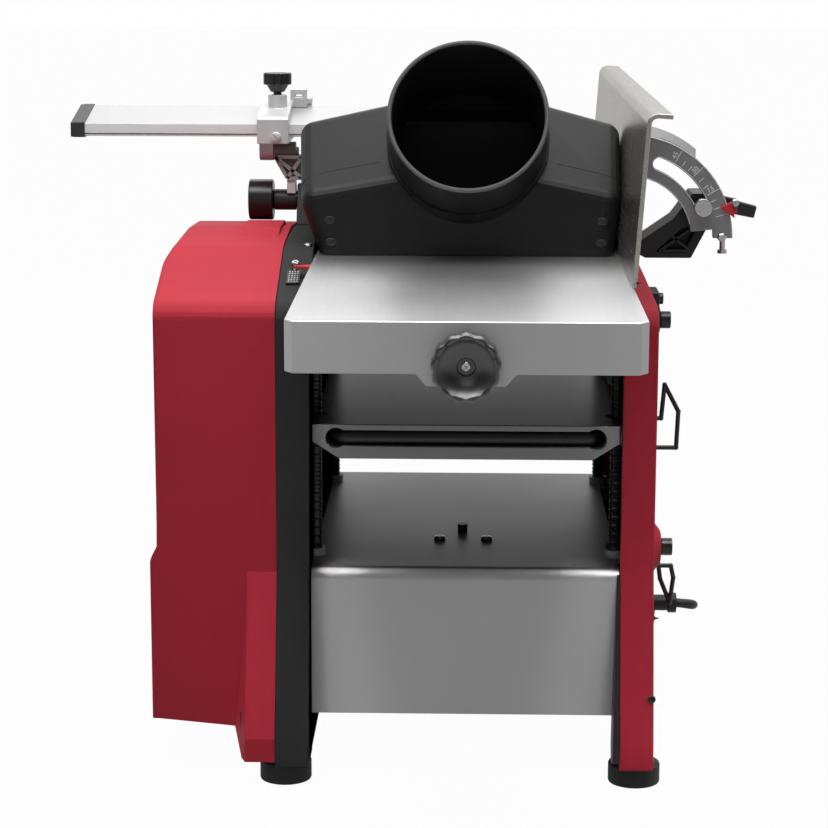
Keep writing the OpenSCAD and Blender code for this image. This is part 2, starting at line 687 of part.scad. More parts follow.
module dust_chute() color("#3a3a3c") place() difference() {
    union() {
        chute_hull(0, 0);
        port_at() translate([0, 0, -port_free - 1]) cylinder(d = port_d, h = port_free + 1, $fn = 96);
        port_at() translate([0, 0, -port_len])
            cylinder(d = port_d + port_step * 2, h = port_len - port_free, $fn = 96);
    }
    chute_hull(chute_wall, 2);
    port_at() translate([0, 0, chute_wall - port_len])
        cylinder(d = port_d - chute_wall * 2, h = port_len + 2, $fn = 96);
    box([-table_w, -table_half, 0], [table_w, table_half, chute_z]);
}

// Bridge guard: bracket on the left frame, swinging arm, levelled clamp and sliding bar
arm_x = -frame_out - 16;
arm_w = 16;
arm_r = 11;
lug_r = 7;
knob_shaft = 6.5;
function ridge_at(y) = frame_top - 5 * y / crease_y;
module guard_bracket() color("#232324") place() difference() {
    along_x(1 - frame_out, -frame_in - 3) polygon([[guard_y, ridge_at(guard_y)],
        [crease_y, ridge_at(crease_y)], [swing_y + 12, swing_z + 6], [swing_y + 6, swing_z + 12],
        [swing_y - 6, swing_z + 12]]);
    rod_x(knob_shaft + run_gap, -frame_out, -frame_in, swing_y, swing_z);
}
module guard_arm() color("#b4b6b9") place() difference() {
    along_x(arm_x, arm_x + arm_w) difference() {
        union() {
            translate([swing_y, swing_z]) circle(arm_r);
            translate([swing_y, level_z]) circle(lug_r);
            polygon([[swing_y - arm_r, swing_z], [swing_y + arm_r, swing_z],
                [swing_y + lug_r, level_z], [swing_y - lug_r, level_z]]);
        }
        translate([swing_y, swing_z]) circle(knob_shaft + run_gap);
        translate([swing_y, level_z]) circle(level_pin + run_gap);
    }
    along_y(swing_y - 20, swing_y - 4) {
        polygon([[arm_x + 3, swing_z + 14], [arm_x + 7, swing_z + 14], [arm_x + 3, swing_z + 22]]);
        polygon([[arm_x + 13, swing_z + 14], [arm_x + 13, swing_z + 22], [arm_x + 9, swing_z + 14]]);
    }
}
level_pin = 3;
module guard_knob() color("#1a1a1b") place() {
    rod_x(guard_knob_d / 2, arm_x - 19, arm_x - 1, swing_y, swing_z);
    rod_x(knob_shaft, arm_x - 2, -frame_in - 4, swing_y, swing_z);
}
module bar_outline(g) polygon([[guard_y - g, guard_z - g], [guard_y - g, guard_z + guard_t + g],
    [guard_back + g, guard_z + guard_t + guard_rise + g], [guard_back + g, guard_z - g]]);
bar_wall = 2;
module guard_bar() color("#d3d4d6") place() along_x(guard_left, guard_left + guard_len) difference() {
    bar_outline(0);
    bar_outline(-bar_wall);
}
module guard_ends() color("#3a3a3b") place() {
    along_x(guard_left - 3, guard_left) bar_outline(0.8);
    along_x(guard_left + guard_len, guard_left + guard_len + 3) bar_outline(0.8);
}
star_x = clamp_x + 13;
clamp_t = 5;
clamp_top = guard_z + guard_t + clamp_t;
boss_z = guard_z + guard_t + guard_rise / 2 + 15;
star_stem = 3;
module guard_clamp() color("#c3c5c8") place() {
    difference() {
        union() {
            along_x(clamp_x, clamp_x + clamp_w) polygon([[guard_y - clamp_t, guard_z - clamp_t],
                [guard_y - clamp_t, clamp_top - 1], [guard_y - clamp_t + 4, clamp_top + 2],
                [guard_back + clamp_t, clamp_top + guard_rise + 1],
                [guard_back + clamp_t, guard_z - clamp_t]]);
            rod_z(7, clamp_top, boss_z, star_x, guard_mid);
            box([clamp_x + clamp_w - 2, guard_back - 6, clamp_top],
                [clamp_x + clamp_w + 10, guard_back + clamp_t, boss_z + 3]);
        }
        along_x(clamp_x - 1, clamp_x + clamp_w + 11) bar_outline(slide_gap);
        rod_z(star_stem + run_gap, guard_z + guard_t, boss_z + 1, star_x, guard_mid);
        box([clamp_x + clamp_w + 1.5, guard_back - 9, clamp_top + guard_rise + 2],
            [clamp_x + clamp_w + 7, guard_back + 9, boss_z - 1]);
    }
    along_x(clamp_x, arm_x - slide_gap) {
        translate([swing_y, level_z]) circle(lug_r);
        translate([swing_y - lug_r, level_z]) square([lug_r * 2, guard_z - clamp_t - level_z]);
    }
    rod_x(level_pin, arm_x - 2, arm_x + arm_w + 2, swing_y, level_z);
    rod_y(3.4, guard_y - clamp_t - 1.6, guard_y - clamp_t, star_x + 1, guard_z);
    translate([clamp_x + clamp_w + 10, guard_back, boss_z - 6]) rotate([0, 90, 0])
        cylinder(r = 4, h = 4, $fn = 6);
}
flute_at = star_d / 2 + 1.4;
module star_knob() color("#1a1a1b") place() difference() {
    union() {
        rod_z(star_stem, guard_z + guard_t + guard_rise / 2 + 3, boss_z + 6, star_x, guard_mid);
        translate([star_x, guard_mid, boss_z + 2]) cylinder(r1 = 5, r2 = star_d / 2 - 2, h = 6);
        rod_z(star_d / 2, boss_z + 7.5, boss_z + 16, star_x, guard_mid);
    }
    for (i = [0 : 7]) rod_z(2.6, boss_z + 7, boss_z + 17,
        star_x + flute_at * cos(45 * i), guard_mid + flute_at * sin(45 * i));
}

// Fence: bent sheet on a quadrant that tilts about a pin in the bracket
fence_x = table_w / 2 - 1.6;
fence_z = table_top + 0.8;
quadrant_y = -quadrant_t;
bracket_y = slide_gap;
bracket_l = mouth + 11;
function fence_back(z) = fence_x + fence_t / cos(fence_lean) + (z - fence_z) * tan(fence_lean) + 0.02;
module fence_plate() color("#b9b6ae") place() translate([fence_x, 0, fence_z]) rotate([0, fence_lean, 0])
    along_y(fence_front, fence_front + fence_len) polygon(concat(
        [[0, 0], [fence_t, 0], [fence_t, fence_h - 7]],
        arc(fence_t + 4, fence_h - 7, 4, 180, 90, 4),
        [[fence_t + fence_flange, fence_h - fence_t], [fence_t + fence_flange, fence_h]],
        arc(fence_t + 4, fence_h - 7, 4 + fence_t, 90, 180, 4)));
quad_low = lock_angle - 17;
quad_high = 84;
quad_in = slot_r - 13;
quad_top = pivot_z + quadrant_r;
hub_r = 7.5;
function spot(r, a) = [pivot_x + r * cos(a), pivot_z + r * sin(a)];
quad_stop = quad_low - 6;
quad_lip = quadrant_r - 14;
strip_t = 4;
module quadrant_outline() difference() {
    union() {
        polygon(concat(arc(pivot_x, pivot_z, quadrant_r, quad_stop, quad_high, 22),
            arc(pivot_x, pivot_z, quad_in, quad_high, quad_low, 20),
            [spot(quad_lip, quad_low), spot(quad_lip, quad_stop)]));
        polygon([[fence_back(quad_top - 34), quad_top - 34], spot(quad_in + 1, 72), spot(quadrant_r - 1, 80),
            [fence_back(quad_top), quad_top]]);
        polygon([[fence_back(pivot_z - 2), pivot_z - 2], [fence_back(pivot_z - 2) + strip_t, pivot_z - 2],
            [fence_back(quad_top - 30) + strip_t, quad_top - 30],
            [fence_back(quad_top - 30), quad_top - 30]]);
        translate([pivot_x, pivot_z]) circle(hub_r);
    }
    polygon(concat(arc(pivot_x, pivot_z, slot_r + slot_half, lock_angle, lock_angle + fence_tilt, 12),
        arc(pivot_x, pivot_z, slot_r - slot_half, lock_angle + fence_tilt, lock_angle, 12)));
    translate(spot(slot_r, lock_angle)) circle(slot_half);
    translate(spot(slot_r, lock_angle + fence_tilt)) circle(slot_half);
    translate([pivot_x, pivot_z]) circle(pivot_pin + run_gap);
    fence_half_plane();
}
// Everything on the working side of the fence's back
module fence_half_plane() polygon([[pivot_x - quadrant_r, pivot_z - slot_r],
    [fence_back(pivot_z - slot_r), pivot_z - slot_r], [fence_back(quad_top + slot_r), quad_top + slot_r],
    [pivot_x - quadrant_r, quad_top + slot_r]]);
slot_half = lock_d / 2 + slide_gap;
pivot_pin = 4;
module fence_quadrant() color("#97999c") place() along_y(quadrant_y, 0) quadrant_outline();
module fence_bracket() color("#1c1c1d") place() {
    difference() {
        along_y(bracket_y, bracket_l) union() {
            polygon([[table_w / 2, right_top], [frame_out - right_slope[0], right_top],
                [frame_out + 1, right_top - 4.5], [lock_x - 7, right_top - 4.5], [lock_x + 8, lock_z - 8],
                [lock_x + 8, lock_z + 9], [lock_x - 7, lock_z + 9], [lock_x - 20, lock_z - 9],
                [pivot_x + 8, right_top + 7], [table_w / 2, right_top + 5]]);
            translate([pivot_x, pivot_z]) circle(6);
            polygon([[pivot_x - 6, right_top], [pivot_x + 10, right_top],
                [pivot_x + 6, pivot_z], [pivot_x - 6, pivot_z]]);
        }
        rod_y(lock_d / 2, 0, bracket_l + 1, lock_x, lock_z);
        along_y(bracket_y - 1, bracket_y + 8) polygon([[frame_out + 8, right_top], [lock_x - 12, right_top],
            [lock_x - 3, lock_z - 14], [lock_x - 14, lock_z - 16]]);
    }
    along_y(bracket_y, bracket_y + 6) polygon([[lock_x + 7, lock_z - 8], [post_x + 5, lock_z - 5],
        [post_x + 5, lock_z + 5], [lock_x + 7, lock_z + 9]]);
    rod_y(pivot_pin, quadrant_y - 3, bracket_y + 1, pivot_x, pivot_z);
}
post_x = pivot_x + quadrant_r - 1.5;
pointer_y = quadrant_y - 2.4;
module fence_pointer() color("#c4162e") place() {
    along_y(pointer_y, pointer_y + 1.8)
        polygon([[post_x - 8, lock_z], [post_x + 0.5, lock_z + 4.5], [post_x + 2.5, lock_z - 7.8]]);
    along_y(pointer_y + 1, bracket_y) translate([post_x, lock_z - 4]) square([4, 7]);
}
module fence_lock_bolt() color("#a5a7aa") place() {
    rod_y(lock_d / 2, quadrant_y - 2, bracket_l + 12, lock_x, lock_z);
    rod_y(6.5, quadrant_y - 6, quadrant_y - slide_gap, lock_x, lock_z);
}
lever_hub = 8;
lever_t = 9;
module lock_lever() color("#19191a") place() difference() {
    along_y(bracket_l + slide_gap, bracket_l + lever_t) union() {
        translate([lock_x, lock_z]) circle(lever_hub);
        polygon([[lock_x, lock_z + 7], [lock_x, lock_z - 5], [lever_tip - 2, lock_z - 13],
            [lever_tip, lock_z - 4.5]]);
    }
    rod_y(lock_d / 2 + run_gap, bracket_l, bracket_l + lever_t * 2, lock_x, lock_z);
}
stop_at = spot(quadrant_r - 7, quad_low - 6);
stop_len = 8.5;
fence_screw_y = [20, 60];
fence_screw_z = 48;
module fence_screws() color("#b9bbbe") place() {
    rod_z(2, stop_at[1] - stop_len - 0.5, stop_at[1], stop_at[0], quadrant_y / 2);
    rod_z(3.4, stop_at[1] - stop_len - 2.5, stop_at[1] - stop_len, stop_at[0], quadrant_y / 2);
    for (y = fence_screw_y) translate([fence_x, y, fence_z]) rotate([0, fence_lean, 0])
        rod_x(4, fence_t, fence_t + 4, 0, fence_screw_z);
}

// Switch, reset button, hooks and gland on the right frame
switch_y = -60;
switch_t = 6;
switch_z = right_top - right_slope[1] - 36;
reset_z = switch_z + 30;
knob_at = switch_z + 15;
module switch_plate() color("#26272a") place() difference() {
    union() {
        box([frame_out, switch_y - 16, switch_z], [frame_out + switch_t, switch_y + 16, switch_z + 36]);
        rod_x(9, frame_out + switch_t - 1, frame_out + switch_t + 1.5, switch_y, knob_at);
    }
    rod_x(4 + slide_gap, frame_out - 1, frame_out + switch_t + 1, switch_y, reset_z);
    rod_x(3 + run_gap, frame_out - 1, frame_out + switch_t + 2, switch_y, knob_at);
}
module reset_button() color("#19191a") place()
    rod_x(4, frame_out + press + 0.4, frame_out + switch_t + press + 0.6, switch_y, reset_z);
module switch_knob() color("#19191a") place() {
    rod_x(3, frame_out + 1, frame_out + switch_t + 3, switch_y, knob_at);
    rod_x(6, frame_out + switch_t + 1.8, frame_out + switch_t + 9, switch_y, knob_at);
}
upper_hook = [[0, 0, 231], [10, 0, 231], [12, 0, 255], [22, 0, 236], [21, 0, 210], [0, 0, 210]];
lower_hook = [[0, -3, 125], [19, -3, 125], [21, -2, 116], [19, 0, 97], [12, 2, 114], [9, 3.5, 136],
    [0, 3.5, 136]];
knuckle = 0.3;
module wire(points) for (i = [0 : len(points) - 2]) {
    run = points[i + 1] - points[i];
    translate(points[i]) {
        rotate([0, acos(run[2] / norm(run)), atan2(run[1], run[0])]) cylinder(d = hook_d, h = norm(run));
        if (i > 0) sphere(d = hook_d + knuckle);
    }
}
hook_y = -60;
module cord_hooks() color("#1e1e1f") place() translate([frame_out, hook_y, 0]) {
    wire(upper_hook);
    wire(lower_hook);
}
gland_y = -20;
gland_z = 86;
gland_l = 27;
module cable_gland() color("#19191a") place() {
    rod_x(cord_r + 2.5, frame_out, frame_out + gland_l - 6, gland_y, gland_z);
    rod_x(cord_r + 4, frame_out + gland_l - 6, frame_out + gland_l, gland_y, gland_z);
}

// Mains cord: the free stretch, the coil behind the machine, its tie and the plug
coil_c = [70, 250];
coil_turns = 3;
coil_pitch = cord_d + 0.6;
coil_out = 51;
coil_in = coil_out - coil_turns * coil_pitch;
coil_z = cord_r + 0.9;
coil_dip = 1;
coil_tail = 40;
coil_steps = 24;
coil_end = coil_turns * 2 + 0.5;
function ease(t) = t * t * (3 - 2 * t);
function climb(t) = max(0, min(1, (t - coil_turns) * 2));
function coil_r(t) = t < coil_turns ? coil_out - coil_pitch * t
    : t < coil_turns + 0.5 ? coil_in - coil_dip * sin(180 * climb(t))
    : coil_in + coil_pitch * (t - coil_turns - 0.5);
function coil_at(t) = [coil_c[0] + coil_r(t) * cos(360 * t), coil_c[1] + coil_r(t) * sin(360 * t),
    coil_z + coil_pitch * ease(climb(t))];
coil_start = coil_at(0) - [0, cord_d, 0];
coil_stop = coil_at(coil_end) - [0, coil_tail, 0];
coil_path = concat([coil_start], [for (i = [0 : coil_end * coil_steps]) coil_at(i / coil_steps)],
    [coil_stop]);
cord_path = concat([[frame_out + gland_l, gland_y, gland_z], [159.5, -19.8, 85.3], [164.3, -17.6, 84],
    [167.2, -13.2, 82.6], [167.6, -7.5, 81.3], [165.6, -2, 80.2], [161.5, 2.8, 79.2], [156, 7, 78.3],
    [150.5, 11.5, 77.3], [146, 17, 76], [143, 24, 74], [141.5, 32, 71], [141, 40, 66.5], [141, 48, 60],
    [141, 55, 51.5], [141, 61.5, 41], [141, 67.5, 30], [141.2, 75, 19.5], [141.5, 84.5, 11], [141.8, 96, 5.6],
    [142, 110, 3.6], [142, 130, 3.5], [142, 150, 3.5], [142, 170, 3.5], [139, 190, 3.5], [132, 208, 3.6],
    [124, 225, 3.9]], [coil_start]);
function unit(v) = v / norm(v);
function heading(path, i) = unit(path[min(i + 1, len(path) - 1)] - path[max(i - 1, 0)]);
function ring(path, i, sides) = let (t = heading(path, i), u = unit(cross(t, [0.3, 0.1, 1])), v = cross(u, t))
    [for (k = [0 : sides - 1]) path[i] + cord_r * (u * cos(360 * k / sides) + v * sin(360 * k / sides))];
module tube(path, sides) {
    n = len(path);
    polyhedron(
        points = [for (i = [0 : n - 1]) each ring(path, i, sides)],
        faces = concat(
            [for (k = [1 : sides - 2]) [0, k, k + 1]],
            [for (k = [1 : sides - 2]) [(n - 1) * sides, (n - 1) * sides + k + 1, (n - 1) * sides + k]],
            [for (i = [0 : n - 2]) for (k = [0 : sides - 1])
                let (a = i * sides + k, b = i * sides + (k + 1) % sides)
                each [[a, a + sides, b], [b, a + sides, b + sides]]]));
}
module cord() color("#1b1b1c") place() tube(cord_path, 10);
module cord_coil() color("#1b1b1c") place() tube(coil_path, 6);
function clear_of(t, u) = norm(coil_at(t) - coil_at(u)) - cord_d;
coil_clear = min([for (i = [0 : coil_end * 12]) for (j = [i + 8 : coil_end * 12]) clear_of(i / 12, j / 12)]);
echo(coil_clear = coil_clear);
function path_len(path, i = 0) = i >= len(path) - 1 ? 0 : norm(path[i + 1] - path[i]) + path_len(path, i + 1);
echo(cord_length = path_len(cord_path) + path_len(coil_path));
tie_t = 0.8;
tie_w = 8;
tie_in = coil_in - coil_dip - cord_r - 0.4;
tie_out = coil_out + cord_r;
tie_top = coil_z + coil_pitch + cord_r + 0.4;
module cord_tie() color("#2b2b2c") place() difference() {
    box([coil_c[0] - tie_w / 2, coil_c[1] + tie_in - tie_t, 0],
        [coil_c[0] + tie_w / 2, coil_c[1] + tie_out + tie_t, tie_top + tie_t]);
    box([coil_c[0] - tie_w, coil_c[1] + tie_in, tie_t], [coil_c[0] + tie_w, coil_c[1] + tie_out, tie_top]);
}
plug_w = 26;
plug_l = 30;
plug_neck = 12;
pin_gap = 19;
module plug() color("#1b1b1c") place() translate(coil_stop) {
    rod_y(cord_r + 2, -plug_neck, 0, 0, 0);
    box([-plug_w / 2, -plug_neck - plug_l, 0.2 - coil_stop[2]], [plug_w / 2, -plug_neck, coil_stop[2] - 0.2]);
    for (side = [-1, 1]) rod_y(2.4, -plug_neck - plug_l - 19, -plug_neck - plug_l, side * pin_gap / 2, 0);
}

// Peg and screws of the base, cover screws and the cap under the gland
cover_screw_y = 120;
module fasteners() color("#2a2a2b") place() {
    rod_z(3.5, base_top, base_top + 6, -2, -49);
    for (x = [-18, 15]) rod_z(4, base_top, base_top + 1.4, x, -73);
    rod_x(4, frame_out, frame_out + 10, gland_y, gland_z - 10);
    both_y() for (z = [cover_foot + 20, bend_screw_z]) {
        skin = cover_left - (z < bump_z ? cover_bump : 0);
        rod_x(4.5, skin - 2, skin, cover_screw_y, z);
    }
}
bend_screw_z = frame_top - left_rise - 30;

base_box();
left_frame();
right_frame();
feet();
drive_cover();
fasteners();
bearing_heads();
cutter_bearings();
outfeed_table();
motor();
drive_belt();
feed_chain();
roller_blocks();
roller_springs();
chip_deflector();
spindle_bushes();
lift_chain();
depth_scale();
guard_bracket();
fence_bracket();
fence_lock_bolt();
switch_plate();
cord_hooks();
cable_gland();
cord();
cord_coil();
plug();
cord_tie();
thickness_table();
table_nuts();
support_bar();
spindle_fl();
spindle_fr();
spindle_bl();
spindle_br();
height_knob();
infeed_table();
depth_knob();
depth_pointer();
cutter_block();
cutter_knives();
cutter_pulley();
motor_rotor();
infeed_roller();
outfeed_roller();
kickback_fingers();
dust_chute();
guard_bar();
guard_ends();
guard_clamp();
star_knob();
guard_arm();
guard_knob();
fence_plate();
fence_quadrant();
fence_screws();
fence_pointer();
lock_lever();
reset_button();
switch_knob();
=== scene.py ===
import json
import math

import bmesh
import bpy
from mathutils import Matrix, Vector
from mathutils.bvhtree import BVHTree


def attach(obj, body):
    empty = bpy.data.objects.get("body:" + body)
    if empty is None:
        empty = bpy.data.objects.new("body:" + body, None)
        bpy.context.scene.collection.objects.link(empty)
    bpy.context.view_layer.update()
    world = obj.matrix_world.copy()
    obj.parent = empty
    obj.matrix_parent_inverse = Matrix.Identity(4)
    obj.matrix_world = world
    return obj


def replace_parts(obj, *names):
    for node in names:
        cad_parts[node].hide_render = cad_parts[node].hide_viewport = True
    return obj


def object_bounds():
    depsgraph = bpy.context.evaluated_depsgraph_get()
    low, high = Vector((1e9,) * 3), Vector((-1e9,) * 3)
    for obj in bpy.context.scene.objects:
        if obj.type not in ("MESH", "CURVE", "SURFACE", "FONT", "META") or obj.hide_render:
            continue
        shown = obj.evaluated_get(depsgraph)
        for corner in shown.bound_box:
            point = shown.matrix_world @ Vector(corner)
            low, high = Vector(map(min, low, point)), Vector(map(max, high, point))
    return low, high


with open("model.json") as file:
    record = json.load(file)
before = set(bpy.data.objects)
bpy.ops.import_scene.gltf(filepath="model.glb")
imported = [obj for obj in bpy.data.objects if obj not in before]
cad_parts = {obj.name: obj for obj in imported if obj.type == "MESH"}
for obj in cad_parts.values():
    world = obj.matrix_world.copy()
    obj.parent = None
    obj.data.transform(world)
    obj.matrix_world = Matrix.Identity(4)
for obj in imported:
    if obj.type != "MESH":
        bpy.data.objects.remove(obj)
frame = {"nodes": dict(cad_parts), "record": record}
cadLow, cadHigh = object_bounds()
print("frame loaded:", len(frame["nodes"]), "nodes")

scene = bpy.context.scene
scene.view_settings.view_transform = "Standard"
# The machine's own middle, from the left side and the middle of its box
machineSet = {"leftReach": 0.291, "ahead": 0.007}
machineMiddle = Vector((cadLow[0] + machineSet["leftReach"], machineSet["ahead"], 0.0))


def spot(x, y, z):
    return Vector((x, y, z)) / 1000 + machineMiddle


def added(name, data):
    thing = bpy.data.objects.new(name, data)
    scene.collection.objects.link(thing)
    return thing


# Camera, fitted to the table, base and fence edges of the photograph
cameraSet = {"place": (1.28, -1748.55, 563.27), "yaw": 1.29, "pitch": 11.072, "roll": 0.157,
             "focal": 2442.76, "frame": 828, "sensor": 36.0}


def makeCamera(look):
    yaw, pitch, roll = (math.radians(look[k]) for k in ("yaw", "pitch", "roll"))
    forward = Vector((-math.sin(yaw) * math.cos(pitch), math.cos(yaw) * math.cos(pitch), -math.sin(pitch)))
    right = Vector((math.cos(yaw), math.sin(yaw), 0))
    up = right.cross(forward)
    across = right * math.cos(roll) + up * math.sin(roll)
    upright = up * math.cos(roll) - right * math.sin(roll)
    camera = added("camera", bpy.data.cameras.new("camera"))
    turn = Matrix((across, upright, -forward)).transposed().to_4x4()
    camera.matrix_world = Matrix.Translation(spot(*look["place"])) @ turn
    camera.data.sensor_width = look["sensor"]
    camera.data.lens = look["sensor"] * look["focal"] / look["frame"]
    scene.camera = camera


makeCamera(cameraSet)
print("camera placed")


# Node maths: a wire is a socket that takes part in expressions
class Wire:
    def __init__(self, owner, socket):
        self.owner, self.socket = owner, socket

    def __add__(self, other):
        return self.owner.maths("ADD", self, other)

    def __radd__(self, other):
        return self.owner.maths("ADD", other, self)

    def __sub__(self, other):
        return self.owner.maths("SUBTRACT", self, other)

    def __rsub__(self, other):
        return self.owner.maths("SUBTRACT", other, self)

    def __mul__(self, other):
        return self.owner.maths("MULTIPLY", self, other)

    def __truediv__(self, other):
        return self.owner.maths("DIVIDE", self, other)


class Nodes:
    def node(self, kind, sockets=None, out=0, **settings):
        made = self.tree.nodes.new(kind)
        for key, value in settings.items():
            setattr(made, key, value)
        for key, value in (sockets or {}).items():
            self.feed(made.inputs[key], value)
        return Wire(self, made.outputs[out])

    def maths(self, operation, *values):
        return self.node("ShaderNodeMath", dict(enumerate(values)), operation=operation)

    def rays(self, *kinds):
        path = self.tree.nodes.new("ShaderNodeLightPath")
        return [Wire(self, path.outputs[f"Is {kind} Ray"]) for kind in kinds]

    def feed(self, socket, value):
        if isinstance(value, Wire):
            self.tree.links.new(value.socket, socket)
        else:
            socket.default_value = value


finishes = {}


class Finish(Nodes):
    def __init__(self, name):
        self.material = finishes[name] = bpy.data.materials.new(name)
        self.material.use_nodes = True
        self.tree = self.material.node_tree
        self.shader = next(n for n in self.tree.nodes if n.type == "BSDF_PRINCIPLED")

    def set(self, **sockets):
        for key, value in sockets.items():
            self.feed(self.shader.inputs[key.replace("_", " ")], value)

    def place(self, stretch=(1, 1, 1)):
        where = self.node("ShaderNodeTexCoord", out="Object")
        return self.node("ShaderNodeMapping", {"Vector": where, "Scale": stretch})

    def noise(self, scale, detail, stretch=(1, 1, 1)):
        return self.node("ShaderNodeTexNoise", {"Vector": self.place(stretch), "Scale": scale,
                                                "Detail": detail, "Roughness": 0.6})

    def ramp(self, value, low, high):
        return self.node("ShaderNodeMapRange", {"Value": value, "From Min": low, "From Max": high}, clamp=True)

    def blend(self, share, first, second):
        return self.node("ShaderNodeMix", {"Factor": share, 6: first, 7: second}, out=2, data_type="RGBA")

    def bump(self, height, strength, distance=0.0004):
        return self.node("ShaderNodeBump", {"Height": height, "Strength": strength, "Distance": distance})


class Graph(Nodes):
    def __init__(self, name, **sizes):
        self.tree = bpy.data.node_groups.new(name, "GeometryNodeTree")
        face = self.tree.interface
        face.new_socket("Geometry", in_out="OUTPUT", socket_type="NodeSocketGeometry")
        face.new_socket("Geometry", in_out="INPUT", socket_type="NodeSocketGeometry")
        self.labels = {}
        for label, value in sizes.items():
            kind = "NodeSocketInt" if isinstance(value, int) else "NodeSocketFloat"
            made = face.new_socket(label, in_out="INPUT", socket_type=kind)
            made.default_value = value
            self.labels[label] = made.identifier
        self.entry = self.tree.nodes.new("NodeGroupInput")
        self.exit = self.tree.nodes.new("NodeGroupOutput")

    def into(self, label):
        return Wire(self, self.entry.outputs[label])

    def vector(self, x=0.0, y=0.0, z=0.0):
        return self.node("ShaderNodeCombineXYZ", {0: x, 1: y, 2: z})

    def curveMesh(self, path, outline):
        return self.node("GeometryNodeCurveToMesh", {"Curve": path, "Profile Curve": outline, "Fill Caps": True})

    def disc(self, sides, radius, depth):
        return self.node("GeometryNodeMeshCylinder", {"Vertices": sides, "Radius": radius, "Depth": depth})

    def moved(self, shape, offset):
        return self.node("GeometryNodeTransform", {"Geometry": shape, "Translation": offset})

    def spread(self, points, shape, **how):
        return self.node("GeometryNodeInstanceOnPoints", {"Points": points, "Instance": shape, **how})

    def end(self, shape, finish):
        real = self.node("GeometryNodeRealizeInstances", {"Geometry": shape})
        done = self.node("GeometryNodeSetMaterial", {"Geometry": real, "Material": finishes[finish]})
        self.feed(self.exit.inputs[0], done)
        return self


def tone(colour, gain=1.0):
    return (*(min(1.0, c * gain) for c in colour), 1.0)


def moulded(name, colour, rough=0.42, grain=900.0, depth=0.12, coat=0.0, drift=0.10, shine=0.35, inside=None):
    f = Finish(name)
    cloud = f.noise(9.0, 4.0)
    fine = f.noise(grain, 2.0)
    scuff = f.ramp(f.noise(60.0, 6.0, (1, 1, 0.25)), 0.62, 0.80)
    mixed = f.blend(f.ramp(cloud, 0.3, 0.7), tone(colour, 1 - drift), tone(colour, 1 + drift))
    worn = f.blend(scuff * 0.25, mixed, tone(colour, 1.5))
    if inside:
        inner = f.node("ShaderNodeAttribute", out="Fac", attribute_name="inner")
        worn = f.blend(inner, worn, tone(inside))
    f.set(Base_Color=worn, Roughness=rough + (cloud - 0.5) * 0.14 + scuff * 0.08, Normal=f.bump(fine, depth),
          Specular_IOR_Level=shine)
    if coat:
        f.set(Coat_Weight=coat, Coat_Roughness=0.25)


groundAndShadeFade = (0.0006, 0.0002)  # how far under a top face its tone fades in: a ground face on the tables, painted shade on the other tops


def brushed(name, colour, rough=0.3, along="y", lines=700.0, drift=0.12, metallic=1.0, depth=0.05, below=None):
    f = Finish(name)
    thin = {"x": (0.02, 1, 1), "y": (1, 0.02, 1), "z": (1, 1, 0.02)}[along]
    streak = f.noise(lines, 4.0, thin)
    cloud = f.noise(7.0, 5.0)
    stain = f.ramp(f.noise(26.0, 6.0), 0.58, 0.78)
    mixed = f.blend(f.ramp(streak, 0.25, 0.75), tone(colour, 1 - drift), tone(colour, 1 + drift))
    marked = f.blend(stain * 0.22, mixed, tone(colour, 0.78))
    if below:  # a top face toned apart from its sides: a ground face over cast sides on the tables, painted shade darkening the tops of the thickness table, base and guard bar
        height = f.node("ShaderNodeSeparateXYZ", {0: f.place()}, out=2)
        ground = f.ramp(height, *(below["level"] - fade for fade in groundAndShadeFade))
        marked = f.blend(ground, tone(below["colour"]), marked)
        rough = below["rough"] + ground * (rough - below["rough"])
        metallic = below["metallic"] + ground * (metallic - below["metallic"])
    f.set(Base_Color=marked, Metallic=metallic, Normal=f.bump(streak, depth, 0.0001),
          Roughness=rough + (streak - 0.5) * min(drift, 0.10) + (cloud - 0.5) * 0.08)


def cast(name, colour, rough=0.5, grain=420.0, depth=0.35, metallic=0.85):
    f = Finish(name)
    pits = f.noise(grain, 5.0)
    cloud = f.noise(14.0, 4.0)
    mixed = f.blend(f.ramp(cloud, 0.3, 0.7), tone(colour, 0.85), tone(colour, 1.12))
    f.set(Base_Color=mixed, Metallic=metallic, Roughness=rough + (pits - 0.5) * 0.25, Normal=f.bump(pits, depth))


def painted(name, colour, rough=0.38, peel=260.0, depth=0.08):
    f = Finish(name)
    skin = f.noise(peel, 2.0)
    cloud = f.noise(5.0, 5.0)
    chips = f.ramp(f.noise(180.0, 4.0), 0.74, 0.78)
    mixed = f.blend(f.ramp(cloud, 0.3, 0.7), tone(colour, 0.93), tone(colour, 1.07))
    f.set(Base_Color=f.blend(chips * 0.35, mixed, tone(colour, 0.6)),
          Roughness=rough + (cloud - 0.5) * 0.16, Normal=f.bump(skin, depth))


def softRubber(name, colour, rough=0.72):
    f = Finish(name)
    dust = f.ramp(f.noise(40.0, 6.0), 0.5, 0.8)
    fine = f.noise(1500.0, 2.0)
    f.set(Base_Color=f.blend(dust * 0.5, tone(colour, 0.9), tone(colour, 2.0)),
          Roughness=rough + (fine - 0.5) * 0.2, Normal=f.bump(fine, 0.2))


